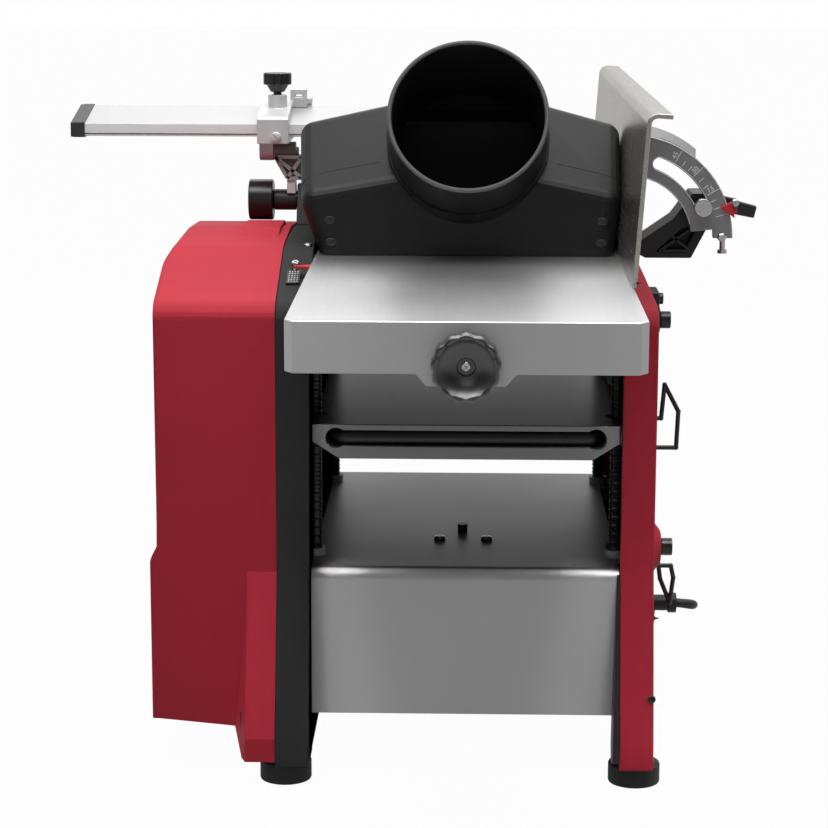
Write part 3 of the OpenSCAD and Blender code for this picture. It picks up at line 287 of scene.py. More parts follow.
redPlastic = {"colour": (0.41, 0.026, 0.043), "rough": 0.6, "grain": 700.0, "depth": 0.06, "drift": 0.06,
              "shine": 0.12}
moulded("coverRed", **redPlastic)
moulded("sideRed", **redPlastic, inside=(0.016, 0.016, 0.0165))
moulded("frameDark", (0.034, 0.034, 0.0345), rough=0.6, depth=0.14, shine=0.05)
moulded("knobBlack", (0.012, 0.012, 0.0125), rough=0.30, depth=0.06, coat=0.2)
moulded("knobGloss", (0.020, 0.020, 0.0205), rough=0.30, depth=0.03, coat=0.8, shine=0.7)
moulded("bracketBlack", (0.016, 0.016, 0.0165), rough=0.45, depth=0.15)
moulded("chuteCharcoal", (0.009, 0.009, 0.0093), grain=1000.0, shine=0.22)
moulded("rimGrey", (0.075, 0.075, 0.076), rough=0.4)
moulded("capGrey", (0.035, 0.035, 0.035), rough=0.45)
moulded("pointerRed", (0.55, 0.015, 0.03), rough=0.3, depth=0.05, coat=0.2, drift=0.05)
moulded("bushWhite", (0.62, 0.62, 0.60), rough=0.45)
painted("paintWhite", (0.72, 0.72, 0.70), rough=0.5, peel=600.0, depth=0.05)
brushed("tableAluminium", (0.84, 0.84, 0.845), rough=0.335, lines=900.0, drift=0.03, depth=0.008,
        below={"level": 0.347, "colour": (0.50, 0.50, 0.505), "rough": 0.5, "metallic": 0.5})
# the thickness table's near-black top is painted shade from the infeed table above it
brushed("thicknessSteel", (0.07, 0.07, 0.0715), rough=0.34, drift=0.05, depth=0.01,
        below={"level": 0.243, "colour": (0.27, 0.27, 0.272), "rough": 0.5, "metallic": 0.5})
# the guard bar's darker top is painted shade, a shaded copy of its lighter front finish
brushed("barAluminium", (0.46, 0.46, 0.465), rough=0.42, along="x", lines=900.0, drift=0.03, metallic=0.3,
        depth=0.02, below={"level": 0.4279, "colour": (0.85, 0.85, 0.855), "rough": 0.5, "metallic": 0.3})
brushed("fenceAluminium", (0.42, 0.405, 0.375), rough=0.26)
brushed("groundSteel", (0.50, 0.50, 0.505), rough=0.25, along="x")
# the base's darker top is painted shade under the tables
brushed("baseGrey", (0.25, 0.25, 0.252), rough=0.42, along="x", lines=350.0, drift=0.06, metallic=0.7,
        below={"level": 0.1445, "colour": (0.52, 0.52, 0.522), "rough": 0.45, "metallic": 0.5})
cast("castGrey", (0.26, 0.26, 0.262))
cast("clampBright", (0.60, 0.60, 0.605), rough=0.44, grain=600.0, depth=0.12, metallic=0.3)
painted("steelBlack", (0.014, 0.014, 0.0145), rough=0.4, peel=400.0, depth=0.1)
painted("motorGrey", (0.16, 0.16, 0.165), rough=0.45)
brushed("nutBronze", (0.44, 0.29, 0.12), rough=0.34, along="z")
softRubber("footRubber", (0.014, 0.014, 0.0145))
softRubber("cordRubber", (0.012, 0.012, 0.0125), rough=0.5)
softRubber("rollerRubber", (0.022, 0.022, 0.022))


def twoTone(name, dark, bright, rough=0.4):
    f = Finish(name)
    share = f.node("ShaderNodeAttribute", out="Fac", attribute_name="share")
    pits = f.noise(600.0, 4.0)
    f.set(Base_Color=f.blend(share, tone(dark), tone(bright)), Metallic=share * 0.15,
          Roughness=rough + (pits - 0.5) * 0.2, Normal=f.bump(pits, 0.12), Specular_IOR_Level=0.35)


twoTone("armGrey", (0.030, 0.030, 0.0305), (0.80, 0.80, 0.805))
print("finishes made:", len(finishes))

nodeFinish = {
    "coverRed": ["drive_cover"],
    "sideRed": ["right_frame"],
    "frameDark": ["left_frame"],
    "baseGrey": ["base_box"],
    "footRubber": ["feet"],
    "bracketBlack": ["guard_bracket", "fence_bracket", "lock_lever", "switch_plate", "cable_gland",
                     "depth_scale"],
    "knobBlack": ["guard_knob", "star_knob", "depth_knob", "height_knob", "reset_button", "switch_knob"],
    "capGrey": ["guard_ends"],
    "chuteCharcoal": ["dust_chute"],
    "tableAluminium": ["infeed_table", "outfeed_table"],
    "thicknessSteel": ["thickness_table"],
    "barAluminium": ["guard_bar"],
    "clampBright": ["guard_clamp", "guard_arm"],
    "fenceAluminium": ["fence_plate"],
    "castGrey": ["fence_quadrant", "bearing_heads"],
    "motorGrey": ["motor"],
    "groundSteel": ["cutter_block", "cutter_knives", "cutter_bearings", "cutter_pulley", "motor_rotor",
                    "infeed_roller", "roller_blocks", "roller_springs", "kickback_fingers", "fence_lock_bolt",
                    "fence_screws", "chip_deflector"],
    "steelBlack": ["spindle_fl", "spindle_fr", "spindle_bl", "spindle_br", "support_bar", "cord_hooks",
                   "lift_chain", "feed_chain", "fasteners"],
    "rollerRubber": ["outfeed_roller", "drive_belt"],
    "bushWhite": ["spindle_bushes"],
    "nutBronze": ["table_nuts"],
    "pointerRed": ["depth_pointer", "fence_pointer"],
    "cordRubber": ["cord", "cord_coil", "plug", "cord_tie"],
}
bodyOf = {n: b for b, group in frame["record"]["behaviour"]["bodies"].items() for n in group}
finishOf = {n: f for f, group in nodeFinish.items() for n in group}
for name, node in frame["nodes"].items():
    node.data.materials.clear()
    node.data.materials.append(finishes[finishOf[name]])
print("nodes dressed:", len(finishOf))

# Degrees past which an edge stays sharp
shadeSet = {"sharp": 34.0, "grown": 32.0, "knob": 40.0, "crease": 12.0}


def meshFrom(name, shape):
    mesh = bpy.data.meshes.new(name)
    shape.to_mesh(mesh)
    shape.free()
    return mesh


def smoothed(mesh, kind):
    mesh.shade_smooth()
    mesh.set_sharp_from_angle(angle=math.radians(shadeSet[kind]))
    return mesh


def newPiece(name, mesh, finish, body):
    piece = added(name, mesh)
    mesh.materials.clear()
    mesh.materials.append(finishes[finish])
    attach(piece, body)
    return piece


def inMetres(sizes, *keys):
    return {key.capitalize(): sizes[key] / 1000 for key in keys}


# Mains cord: one curve through the free stretch and the turns of the coil behind the machine
cordSet = {"diameter": 6.6, "gland": (154, -20, 86), "coilMiddle": (70, 250), "turns": 3, "pitch": 7.2,
           "outer": 51.0, "height": 4.2, "dip": 1.0, "tail": 40.0, "steps": 24,
           "stretch": [(159.5, -19.8, 85.3), (164.3, -17.6, 84), (167.2, -13.2, 82.6), (167.6, -7.5, 81.3),
                       (165.6, -2, 80.2), (161.5, 2.8, 79.2), (156, 7, 78.3), (150.5, 11.5, 77.3), (146, 17, 76),
                       (143, 24, 74), (141.5, 32, 71), (141, 40, 66.5), (141, 48, 60), (141, 55, 51.5),
                       (141, 61.5, 41), (141, 67.5, 30), (141.2, 75, 19.5), (141.5, 84.5, 11), (141.8, 96, 5.6),
                       (142, 110, 3.6), (142, 130, 3.5), (142, 150, 3.5), (142, 170, 3.5), (139, 190, 3.5),
                       (132, 208, 3.6), (124, 225, 3.9)]}


def coilPoint(c, t):
    inner = c["outer"] - c["turns"] * c["pitch"]
    rise = max(0.0, min(1.0, (t - c["turns"]) * 2))
    if t < c["turns"]:
        radius = c["outer"] - c["pitch"] * t
    elif t < c["turns"] + 0.5:
        radius = inner - c["dip"] * math.sin(math.pi * rise)
    else:
        radius = inner + c["pitch"] * (t - c["turns"] - 0.5)
    angle = 2 * math.pi * t
    return (c["coilMiddle"][0] + radius * math.cos(angle), c["coilMiddle"][1] + radius * math.sin(angle),
            c["height"] + c["pitch"] * rise * rise * (3 - 2 * rise))


def rounded(points, parts=5):
    smooth = []
    for i in range(len(points) - 1):
        a, b = Vector(points[max(i - 1, 0)]), Vector(points[i])
        c, d = Vector(points[i + 1]), Vector(points[min(i + 2, len(points) - 1)])
        for k in range(parts):
            t = k / parts
            smooth.append(0.5 * (2 * b + (c - a) * t + (2 * a - 5 * b + 4 * c - d) * t * t
                                 + (3 * b - a - 3 * c + d) * t ** 3))
    return smooth + [Vector(points[-1])]


def makeCord(c):
    end = c["turns"] * 2 + 0.5
    coil = [coilPoint(c, i / c["steps"]) for i in range(int(end * c["steps"]) + 1)]
    start = (coil[0][0], coil[0][1] - c["diameter"], coil[0][2])
    stop = (coil[-1][0], coil[-1][1] - c["tail"], coil[-1][2])
    free = rounded([c["gland"], *c["stretch"], start])
    route = [spot(*p) for p in [*free, *coil, stop]]
    curve = bpy.data.curves.new("mainsCord", "CURVE")
    curve.dimensions = "3D"
    curve.bevel_depth = c["diameter"] / 2000
    curve.bevel_resolution = 3
    curve.use_fill_caps = True
    line = curve.splines.new("POLY")
    line.points.add(len(route) - 1)
    for point, place in zip(line.points, route):
        point.co = (*place, 1)
    line.use_smooth = True
    cord = added("mainsCord", curve)
    curve.materials.append(finishes["cordRubber"])
    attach(cord, bodyOf["cord"])
    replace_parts(cord, "cord", "cord_coil")


makeCord(cordSet)


# Lights, floor and surround; a lamp has its place, aim, size, power and spread
studioSet = {"front": 0.05, "back": 0.45, "backdrop": 0.995, "floor": (0.25, 0.25, 0.25), "floorSize": 14.0,
             "floorDrop": 0.5, "glow": 0.98, "mirror": 0.55, "turnOver": 0.7,
             "lamps": [("midFront", (-60, -1750, 900), (0, -180, 90), 0.6, 0.9, 180.0),
                       ("legLeft", (-260, -520, 1000), (-95, -200, 60), 0.2, 0.075, 12.0),
                       ("legRight", (300, -520, 1000), (125, -200, 60), 0.2, 0.075, 12.0),
                       ("keyTop", (-60, -470, 1900), (0, 0, 280), 1.3, 28.0, 180.0),
                       ("frontLeft", (-700, -520, 1600), (-120, -180, 120), 0.7, 5.5, 180.0),
                       ("frontRight", (750, -520, 1600), (120, -180, 120), 0.7, 5.5, 180.0),
                       ("backTop", (100, 1250, 1750), (0, 0, 320), 1.5, 12.0, 180.0)]}


def makeStudio(s):
    world = bpy.data.worlds.new("surround")
    scene.world = world
    world.use_nodes = True
    sky = Nodes()
    sky.tree = world.node_tree
    back = sky.tree.nodes["Background"]
    way = sky.node("ShaderNodeSeparateXYZ", {0: sky.node("ShaderNodeTexCoord", out="Generated")}, out=1)
    behind = sky.node("ShaderNodeMapRange", {"Value": way, "From Min": -s["turnOver"], "From Max": s["turnOver"]},
                      interpolation_type="SMOOTHSTEP")
    seen, through, glossy = sky.rays("Camera", "Transmission", "Glossy")
    shown = sky.maths("MAXIMUM", seen, through)
    room = s["front"] + behind * (s["back"] - s["front"] + glossy * s["mirror"] * (s["backdrop"] - s["back"]))
    sky.feed(back.inputs["Strength"], room + shown * (s["backdrop"] - room))
    back.inputs["Color"].default_value = (1, 1, 1, 1)
    for name, place, aim, size, power, spread in s["lamps"]:
        lamp = added(name, bpy.data.lights.new(name, "AREA"))
        lamp.data.size, lamp.data.energy, lamp.data.spread = size, power, math.radians(spread)
        lamp.location = spot(*place)
        lamp.rotation_euler = (spot(*aim) - spot(*place)).to_track_quat("-Z", "Y").to_euler()
    floor = bmesh.new()
    bmesh.ops.create_grid(floor, x_segments=1, y_segments=1, size=s["floorSize"])
    mesh = meshFrom("floor", floor)
    plain = Finish("floorPale")
    plain.set(Base_Color=(*s["floor"], 1), Roughness=0.9)
    seen, glossy = plain.rays("Camera", "Glossy")
    glow = plain.node("ShaderNodeEmission", {"Color": (1, 1, 1, 1), "Strength": s["backdrop"]})
    body = Wire(plain, plain.shader.outputs[0])
    mixed = plain.node("ShaderNodeMixShader", {0: seen * s["glow"] + glossy * s["mirror"], 1: body, 2: glow})
    plain.tree.links.new(mixed.socket, plain.tree.nodes["Material Output"].inputs["Surface"])
    mesh.materials.append(plain.material)
    ground = added("floor", mesh)
    ground.location = (0, 0, -s["floorDrop"] / 1000)


makeStudio(studioSet)
print("studio lit")


# Softened copies: a node's own shape with its edges broken
mergeSet = {"gap": 2e-6, "flat": 0.6}


def mergedCopy(node):
    shape = bmesh.new()
    shape.from_mesh(frame["nodes"][node].data)
    bmesh.ops.remove_doubles(shape, verts=shape.verts, dist=mergeSet["gap"])
    bmesh.ops.dissolve_limit(shape, angle_limit=math.radians(mergeSet["flat"]), verts=shape.verts,
                             edges=shape.edges)
    return shape


def bake(piece):
    graph = bpy.context.evaluated_depsgraph_get()
    mesh = bpy.data.meshes.new_from_object(piece.evaluated_get(graph))
    piece.modifiers.clear()
    piece.data = mesh
    return mesh


def settle(piece, kind):
    smoothed(bake(piece), kind)
    even = piece.modifiers.new("evenNormals", "WEIGHTED_NORMAL")  # wide faces stay flat beside their bevels
    even.keep_sharp = True
    even.weight = 100
    bake(piece)


def softCopy(node, width, kind, segments=2, angle=28.0, pick=None):
    shape = mergedCopy(node)
    weight = shape.edges.layers.float.new("bevel_weight_edge")
    for edge in shape.edges:
        if len(edge.link_faces) == 2 and edge.calc_face_angle(0) > math.radians(angle):
            middle = ((edge.verts[0].co + edge.verts[1].co) / 2 - machineMiddle) * 1000
            edge[weight] = pick(edge, middle) if pick else 1.0
    piece = newPiece(node + "Soft", meshFrom(node + "Soft", shape), finishOf[node], bodyOf[node])
    edgeBreak = piece.modifiers.new("edgeBreak", "BEVEL")
    edgeBreak.limit_method = "WEIGHT"
    edgeBreak.width = width / 1000
    edgeBreak.segments = segments
    edgeBreak.use_clamp_overlap = False
    settle(piece, kind)
    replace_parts(piece, node)
    return piece


edgeSet = {"infeed_table": 0.8, "outfeed_table": 0.8, "thickness_table": 0.7, "base_box": 0.5, "left_frame": 1.0,
           "right_frame": 1.2, "guard_clamp": 0.7, "guard_ends": 0.8, "lock_lever": 0.8, "fence_bracket": 0.8,
           "switch_plate": 0.9, "guard_bracket": 0.8, "plug": 1.2, "guard_bar": 0.5, "feet": 1.4,
           "star_knob": 0.7, "guard_knob": 1.2, "fence_quadrant": 0.7, "fence_lock_bolt": 0.6,
           "fence_plate": 0.5, "fence_pointer": 0.3, "depth_pointer": 0.4, "switch_knob": 0.6,
           "reset_button": 0.6, "cable_gland": 0.5, "height_knob": 0.6, "table_nuts": 0.4, "motor": 1.0,
           "support_bar": 0.6, "bearing_heads": 0.8}
coverSet = {"width": 3.0, "segments": 8, "angle": 20.0, "outside": -140, "reach": 156, "shortest": 0.02}


def coverEdge(edge, at):
    c = coverSet
    long = edge.is_convex and edge.calc_length() > c["shortest"]
    return 1.0 if long and at.x < c["outside"] and abs(at.y) < c["reach"] else 0.0


for node, width in edgeSet.items():
    piece = softCopy(node, width, "crease" if node in ("right_frame", "left_frame") else "sharp")
    if node == "right_frame":  # the side towards the timber is dark
        inner = piece.data.attributes.new("inner", "FLOAT", "FACE")
        for i, face in enumerate(piece.data.polygons):
            inner.data[i].value = 1.0 if face.normal.x < -0.5 else 0.0
softCopy("drive_cover", coverSet["width"], "crease", coverSet["segments"], coverSet["angle"], coverEdge)
print("edges broken:", len(edgeSet) + 1)


# Repeated pieces grow from geometry trees
def grown(name, graph, body, base=None, place=None, sizes=None, joined=None):
    piece = added(name, base or bpy.data.meshes.new(name))
    grow = piece.modifiers.new("grow", "NODES")
    grow.node_group = graph.tree
    for label, value in (sizes or {}).items():
        grow[graph.labels[label]] = value
    mesh = bake(piece)
    if place:
        mesh.transform(place)
    if joined:
        joined.from_mesh(mesh)
        joined.to_mesh(mesh)
        joined.free()
    smoothed(mesh, "grown")
    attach(piece, body)
    return piece


def pointMesh(name, spots):
    mesh = bpy.data.meshes.new(name)
    mesh.from_pydata([spot(*at) for at, _ in spots], [], [])
    facing = mesh.attributes.new("facing", "FLOAT_VECTOR", "POINT")
    for i, (_, way) in enumerate(spots):
        facing.data[i].vector = Vector(way).normalized()
    return mesh


# Screw heads: shares of a head's radius and height, and its widest turn
headForm = {"rim": 0.7, "crown": 0.3, "taper": 0.76, "hex": 0.52, "long": 1.25, "thin": 0.28, "sink": 0.55,
            "turn": 3.1}


def headGraph(name, recess, finish):
    g = Graph(name, Radius=0.004, Height=0.0022, Seed=7)
    h, radius, height = headForm, g.into("Radius"), g.into("Height")
    rim = g.disc(6 if recess == "plain" else 24, radius, height * h["rim"])
    rise = g.node("ShaderNodeSeparateXYZ", {0: g.node("GeometryNodeInputNormal")}, out=2)
    upward = g.node("FunctionNodeCompare", {0: rise, 1: 0.9})
    crown = g.node("GeometryNodeExtrudeMesh", {
        "Mesh": rim, "Selection": upward, "Offset Scale": height * h["crown"]})
    top = Wire(g, crown.socket.node.outputs["Top"])
    head = g.node("GeometryNodeScaleElements", {"Geometry": crown, "Selection": top, "Scale": h["taper"]})
    cuts = []
    if recess == "hex":
        cuts = [g.disc(6, radius * h["hex"], height)]
    elif recess != "plain":
        long, thin = radius * h["long"], radius * h["thin"]
        spans = [(long, thin), (thin, long)] if recess == "cross" else [(long * 2, thin)]
        cuts = [g.node("GeometryNodeMeshCube", {"Size": g.vector(x, y, height)}) for x, y in spans]
    if cuts:
        solid = g.tree.nodes.new("GeometryNodeMeshBoolean")
        solid.operation = "DIFFERENCE"
        g.feed(solid.inputs["Mesh 1"], head)
        for cut in cuts:
            g.feed(solid.inputs["Mesh 2"], g.moved(cut, g.vector(z=height * h["sink"])))
        head = Wire(g, solid.outputs["Mesh"])
    raised = g.moved(head, g.vector(z=height * (h["rim"] / 2)))
    way = g.node("GeometryNodeInputNamedAttribute", {"Name": "facing"}, data_type="FLOAT_VECTOR")
    aimed = g.node("FunctionNodeAlignRotationToVector", {"Vector": way}, axis="Z")
    chance = g.node("FunctionNodeRandomValue", {2: 0.0, 3: h["turn"], "Seed": g.into("Seed")}, out=1)
    spun = g.node("FunctionNodeAxisAngleToRotation", {"Axis": (0, 0, 1), "Angle": chance})
    turned = g.node("FunctionNodeRotateRotation", {0: aimed, 1: spun}, rotation_space="LOCAL")
    return g.end(g.spread(g.into("Geometry"), raised, Rotation=turned), finish)


headFinish = {"cross": "groundSteel", "hex": "steelBlack", "slot": "clampBright", "plain": "groundSteel"}
headTrees = {recess: headGraph(recess + "Heads", recess, finish) for recess, finish in headFinish.items()}
# Each set of heads: its recess, body, radius, height, and places with the way they face
headSet = {
    "coverScrews": ("hex", "frame", 3.4, 2.0, [((-214.9, y, 49), (-1, 0, 0)) for y in (-120, 120)]
                    + [((-209.9, y, 282), (-1, 0, 0)) for y in (-120, 120)]),
    "baseScrews": ("cross", "frame", 3.6, 1.6, [((x, -73, 146.4), (0, 0, 1)) for x in (-18, 15)]),
    "panelScrews": ("cross", "frame", 2.8, 2.2, [((-117, -97.1, 343.4), (0, -0.36, 0.93)),
                                                 ((-110.3, -69.8, 352.25), (0, -0.07, 1))]),
    "legScrews": ("hex", "frame", 2.6, 1.6, [((125.5, s * 176.6, 62), (0.3, s, 0.25)) for s in (-1, 1)]),
    "sideScrews": ("cross", "frame", 3.2, 1.8, [((127, y, z), (1, 0, 0)) for y in (-128, 128)
                                                for z in (170, 300)]),
    "barScrew": ("slot", "clamp", 3.6, 1.6, [((-140, 33.4, 419), (0, -1, 0))]),
    "knobScrew": ("cross", "depth", 3.0, 1.8, [((0, -374.2, 322), (0, -1, 0))]),
    "pointerScrew": ("cross", "frame", 2.6, 1.8, [((190.4, -8.4, 377.6), (0, -1, 0))]),
    "quadrantBolts": ("plain", "fence", 3.4, 2.6, [((181.7, -6, 352.4), (0, -1, 0))]),
}
for name, (recess, body, radius, height, spots) in headSet.items():
    grown(name, headTrees[recess], body, pointMesh(name, spots),
          sizes={"Radius": radius / 1000, "Height": height / 1000})
print("screw heads:", sum(len(h[4]) for h in headSet.values()))


# Lifting screws: a thinner core with a thread wound on it
threadSet = {"across": 103.0, "along": 115.0, "low": 152.0, "length": 152.0, "radius": 5.0, "pitch": 3.0,
             "core": 4.35, "ridge": 0.3, "places": {"fl": (-1, -1), "fr": (1, -1), "bl": (-1, 1), "br": (1, 1)}}


def threadGraph(t):
    g = Graph("screwThread", Radius=0.0045, Pitch=0.003, Length=0.15)
    path = g.node("GeometryNodeCurveSpiral", {
        "Resolution": 18, "Rotations": g.into("Length") / g.into("Pitch"), "Start Radius": g.into("Radius"),
        "End Radius": g.into("Radius"), "Height": g.into("Length")})
    ridge = g.node("GeometryNodeCurvePrimitiveCircle", {"Resolution": 4, "Radius": g.into("Pitch") * t["ridge"]})
    return g.end(g.curveMesh(path, ridge), "steelBlack")


def makeScrews(t):
    graph = threadGraph(t)
    for corner, (sx, sy) in t["places"].items():
        node = "spindle_" + corner
        foot = spot(sx * t["across"], sy * t["along"], t["low"])
        core = mergedCopy(node)
        for vert in core.verts:
            arm = Vector((vert.co.x - foot.x, vert.co.y - foot.y, 0))
            if abs(arm.length * 1000 - t["radius"]) < 0.1:
                vert.co -= arm.normalized() * (t["radius"] - t["core"]) / 1000
        depth = (t["radius"] - t["pitch"] * t["ridge"]) / 1000
        piece = grown(node + "Thread", graph, bodyOf[node], place=Matrix.Translation(foot), joined=core,
                      sizes={"Radius": depth, **inMetres(t, "pitch", "length")})
        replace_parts(piece, node)


makeScrews(threadSet)
print("lifting screws threaded: 4")

# Depth knob: a lobed rim round a dished face, on its pin
knobSet = {"lobes": 13, "radius": 20.4, "dip": 1.0, "front": -382.5, "back": -369.5, "height": 322.0, "steps": 12,
           "rim": [(-1.2, 13.0), (0.0, 11.6), (0.0, 2.2), (-0.5, 0.8), (-1.5, 0.1), (-2.2, 0.0)],
           "dish": [(17.0, 0.25), (16.4, 0.9), (14.4, 2.7), (11.4, 4.5), (8.2, 5.6), (5.6, 6.0), (5.1, 6.6),
                    (5.0, 8.4)],
           "pin": (4.0, -349.5)}


def lathe(rings, closed=True):
    shape = bmesh.new()
    loops = [[shape.verts.new(p) for p in ring] for ring in rings]
    for one, two in zip(loops, loops[1:]):
        for i in range(len(one)):
            j = (i + 1) % len(one)
            shape.faces.new((one[i], one[j], two[j], two[i]))
    if closed:
        shape.faces.new(loops[0][::-1])
        shape.faces.new(loops[-1])
    bmesh.ops.recalc_face_normals(shape, faces=shape.faces)
    return shape


def makeDepthKnob(k):
    count = k["lobes"] * k["steps"]
    turns = [2 * math.pi * i / count for i in range(count)]

    def around(radius, y, dip=0.0, step=1):
        reach = [(a, radius - dip * (0.5 - 0.5 * math.cos(k["lobes"] * a))) for a in turns[::step]]
        return [spot(r * math.sin(a), y, k["height"] + r * math.cos(a)) for a, r in reach]

    rings = [around(k["radius"] + inset, k["front"] + depth, k["dip"]) for inset, depth in k["rim"]]
    shape = lathe(rings + [around(radius, k["front"] + depth) for radius, depth in k["dish"]])
    radius, end = k["pin"]
    pin = lathe([around(radius, y, step=k["steps"] // 2) for y in (k["back"] - 0.5, end)])
    shape.from_mesh(meshFrom("knobPin", pin))
    mesh = smoothed(meshFrom("depthKnob", shape), "knob")
    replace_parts(newPiece("depthKnob", mesh, "knobGloss", "depth"), "depth_knob")


makeDepthKnob(knobSet)
print("depth knob turned")

# Degree scale of the fence quadrant: ticks by rule, and numbers at the long ones
scaleSet = {"pivot": (115.0, -6.0, 351.0), "count": 10, "start": 14.5, "step": 5.0, "inner": 64.1, "short": 4.2,
            "long": 9.4, "width": 0.5, "numbers": (15, 30, 45), "size": 5.2, "numberAt": 65.3,
            "lift": 0.9, "every": 3.0, "thick": 0.3, "raise": 0.12}


def tickGraph(c):
    g = Graph("degreeTicks", Count=10, Start=0.25, Step=0.087, Inner=0.066, Short=0.004, Long=0.009,
              Width=0.0005)
    index = g.node("GeometryNodeInputIndex")
    angle = g.into("Start") + index * g.into("Step")
    major = g.maths("LESS_THAN", g.maths("MODULO", index, c["every"]), 0.5)
    length = g.into("Short") + (g.into("Long") - g.into("Short")) * major
    middle = g.into("Inner") + length * 0.5
    around = g.vector(x=middle * g.maths("COSINE", angle), z=middle * g.maths("SINE", angle))
    points = g.node("GeometryNodePoints", {"Count": g.into("Count"), "Position": around})
    stroke = g.node("GeometryNodeMeshCube", {"Size": (1, 1, 1)})
    ticks = g.spread(points, stroke, Rotation=g.vector(y=angle * -1.0),
                     Scale=g.vector(length, c["thick"] / 1000, g.into("Width")))
    return g.end(ticks, "paintWhite")


def makeScale(c):
    at = Matrix.Translation(spot(*c["pivot"]))
    rad = math.radians
    grown("degreeTicks", tickGraph(c), "fence", place=at,
          sizes={"Count": c["count"], "Start": rad(c["start"]), "Step": rad(c["step"]),
                 **inMetres(c, "inner", "short", "long", "width")})
    for degree in c["numbers"]:
        word = str(degree)
        letters = bpy.data.curves.new("degree" + word, "FONT")
        letters.body, letters.size, letters.extrude = word, c["size"] / 1000, c["raise"] / 1000
        made = added("degree" + word, letters)
        mesh = bpy.data.meshes.new_from_object(made.evaluated_get(bpy.context.evaluated_depsgraph_get()))
        bpy.data.objects.remove(made)
        a = rad(c["start"] + degree)
        along, rise = Vector((math.cos(a), 0, math.sin(a))), Vector((-math.sin(a), 0, math.cos(a)))
        turn = Matrix((along, rise, Vector((0, -1, 0)))).transposed().to_4x4()
        corner = spot(*c["pivot"]) + (along * c["numberAt"] + rise * c["lift"]) / 1000
        mesh.transform(Matrix.Translation(corner) @ turn)
        newPiece("degree" + word, mesh, "paintWhite", "fence")


makeScale(scaleSet)
print("degree scale painted")


# Dust hood: mould seam over the roof, rolled rim of the port, and dark lenses low on its front as painted shade
# of its dimples
hoodSet = {"seamY": -58.0, "left": -121.0, "right": 110.0, "tube": 60.0, "low": 352.0, "bead": 0.35,
           "wallSteps": 20, "wallStep": 3.0, "wallLeast": 90, "roofSteps": 36, "roofStep": 1.75, "outside": 200,
           "above": 600, "port": (0.0, -104.0, 445.0), "tilt": 26.0, "rimRadius": 53.0, "rimBead": 1.55,
           "rimSteps": 96, "rimSides": 10,
           "dimples": [(-94.7, -77.0, 371.5), (-93.9, -77.0, 356.5), (92.5, -77.0, 371.5), (92.0, -77.0, 356.5)]}


def beadGraph(name, finish):
    g = Graph(name, Bead=0.0004, Sides=6)
    path = g.node("GeometryNodeMeshToCurve", {0: g.into("Geometry")})
    ring = g.node("GeometryNodeCurvePrimitiveCircle", {"Resolution": g.into("Sides"), "Radius": g.into("Bead")})
    return g.end(g.curveMesh(path, ring), finish)


def lineMesh(name, lines, closed=False):
    points, edges = [], []
    for line in lines:
        first = len(points)
        points += [Vector(p) for p in line]
        edges += [(first + i, first + i + 1) for i in range(len(line) - 1)]
        if closed:
            edges.append((len(points) - 1, first))
    mesh = bpy.data.meshes.new(name)
    mesh.from_pydata(points, edges, [])
    return mesh


def lensGraph(name, finish):
    g = Graph(name, Wide=0.004, Deep=0.0006, Tall=0.0026)
    ball = g.node("GeometryNodeMeshUVSphere", {"Segments": 20, "Rings": 10, "Radius": 1.0})
    size = g.vector(g.into("Wide"), g.into("Deep"), g.into("Tall"))
    return g.end(g.spread(g.into("Geometry"), ball, Scale=size), finish)


darkBead = beadGraph("darkBead", "bracketBlack")
rimBead = beadGraph("rimBead", "rimGrey")


def makeHood(h):
    tree = BVHTree.FromBMesh(mergedCopy("dust_chute"))
    lines = []
    for side, wall in ((-1, h["left"]), (1, h["right"])):
        seam = []
        for i in range(h["wallSteps"]):  # up the side wall
            level = h["low"] + i * h["wallStep"]
            hit = tree.ray_cast(spot(side * h["outside"], h["seamY"], level), Vector((-side, 0, 0)))[0]
            if hit and hit.x * side > spot(side * h["wallLeast"], 0, 0).x * side:
                seam.append(hit)
        for i in range(h["roofSteps"]):  # in over the roof to the tube
            x = wall - side * (1.0 + i * h["roofStep"])
            if abs(x) > h["tube"]:
                hit = tree.ray_cast(spot(x, h["seamY"], h["above"]), Vector((0, 0, -1)))[0]
                if hit and (not seam or hit.z > seam[-1].z - 0.001):
                    seam.append(hit)
        lines.append(seam)
    grown("hoodSeam", darkBead, "chute", lineMesh("hoodSeam", lines),
          sizes=inMetres(h, "bead"))
    tilt = math.radians(h["tilt"])
    across, rise = Vector((1, 0, 0)), Vector((0, math.sin(tilt), math.cos(tilt)))
    turns = [2 * math.pi * i / h["rimSteps"] for i in range(h["rimSteps"])]
    ring = [spot(*h["port"]) + (across * math.cos(a) + rise * math.sin(a)) * h["rimRadius"] / 1000
            for a in turns]
    grown("portRim", rimBead, "chute", lineMesh("portRim", [ring], True),
          sizes={"Bead": h["rimBead"] / 1000, "Sides": h["rimSides"]})
    # dark lenses that paint the shade of the recessed dimples
    grown("hoodDimpleShades", lensGraph("hoodDimpleShades", "bracketBlack"), "chute",
          pointMesh("hoodDimpleShades", [(d, (0, -1, 0)) for d in h["dimples"]]))


makeHood(hoodSet)
print("dust hood detailed")

# Depth scale: rows of small holes in its plate
plateSet = {"middle": (-117.1, -116.0, 336.23), "lean": 21.04, "lift": 1.62, "wide": 5.6, "long": 13.0,
            "across": 4, "down": 6, "hole": 0.5, "thick": 0.2}


def holeGraph(c):
    g = Graph("scaleHoles", Wide=0.0056, Long=0.013, Across=4, Down=6, Hole=0.0005)
    sheet = g.node("GeometryNodeMeshGrid", {"Size X": g.into("Wide"), "Size Y": g.into("Long"),
                                            "Vertices X": g.into("Across"), "Vertices Y": g.into("Down")})
    return g.end(g.spread(sheet, g.disc(10, g.into("Hole"), c["thick"] / 1000)), "bushWhite")


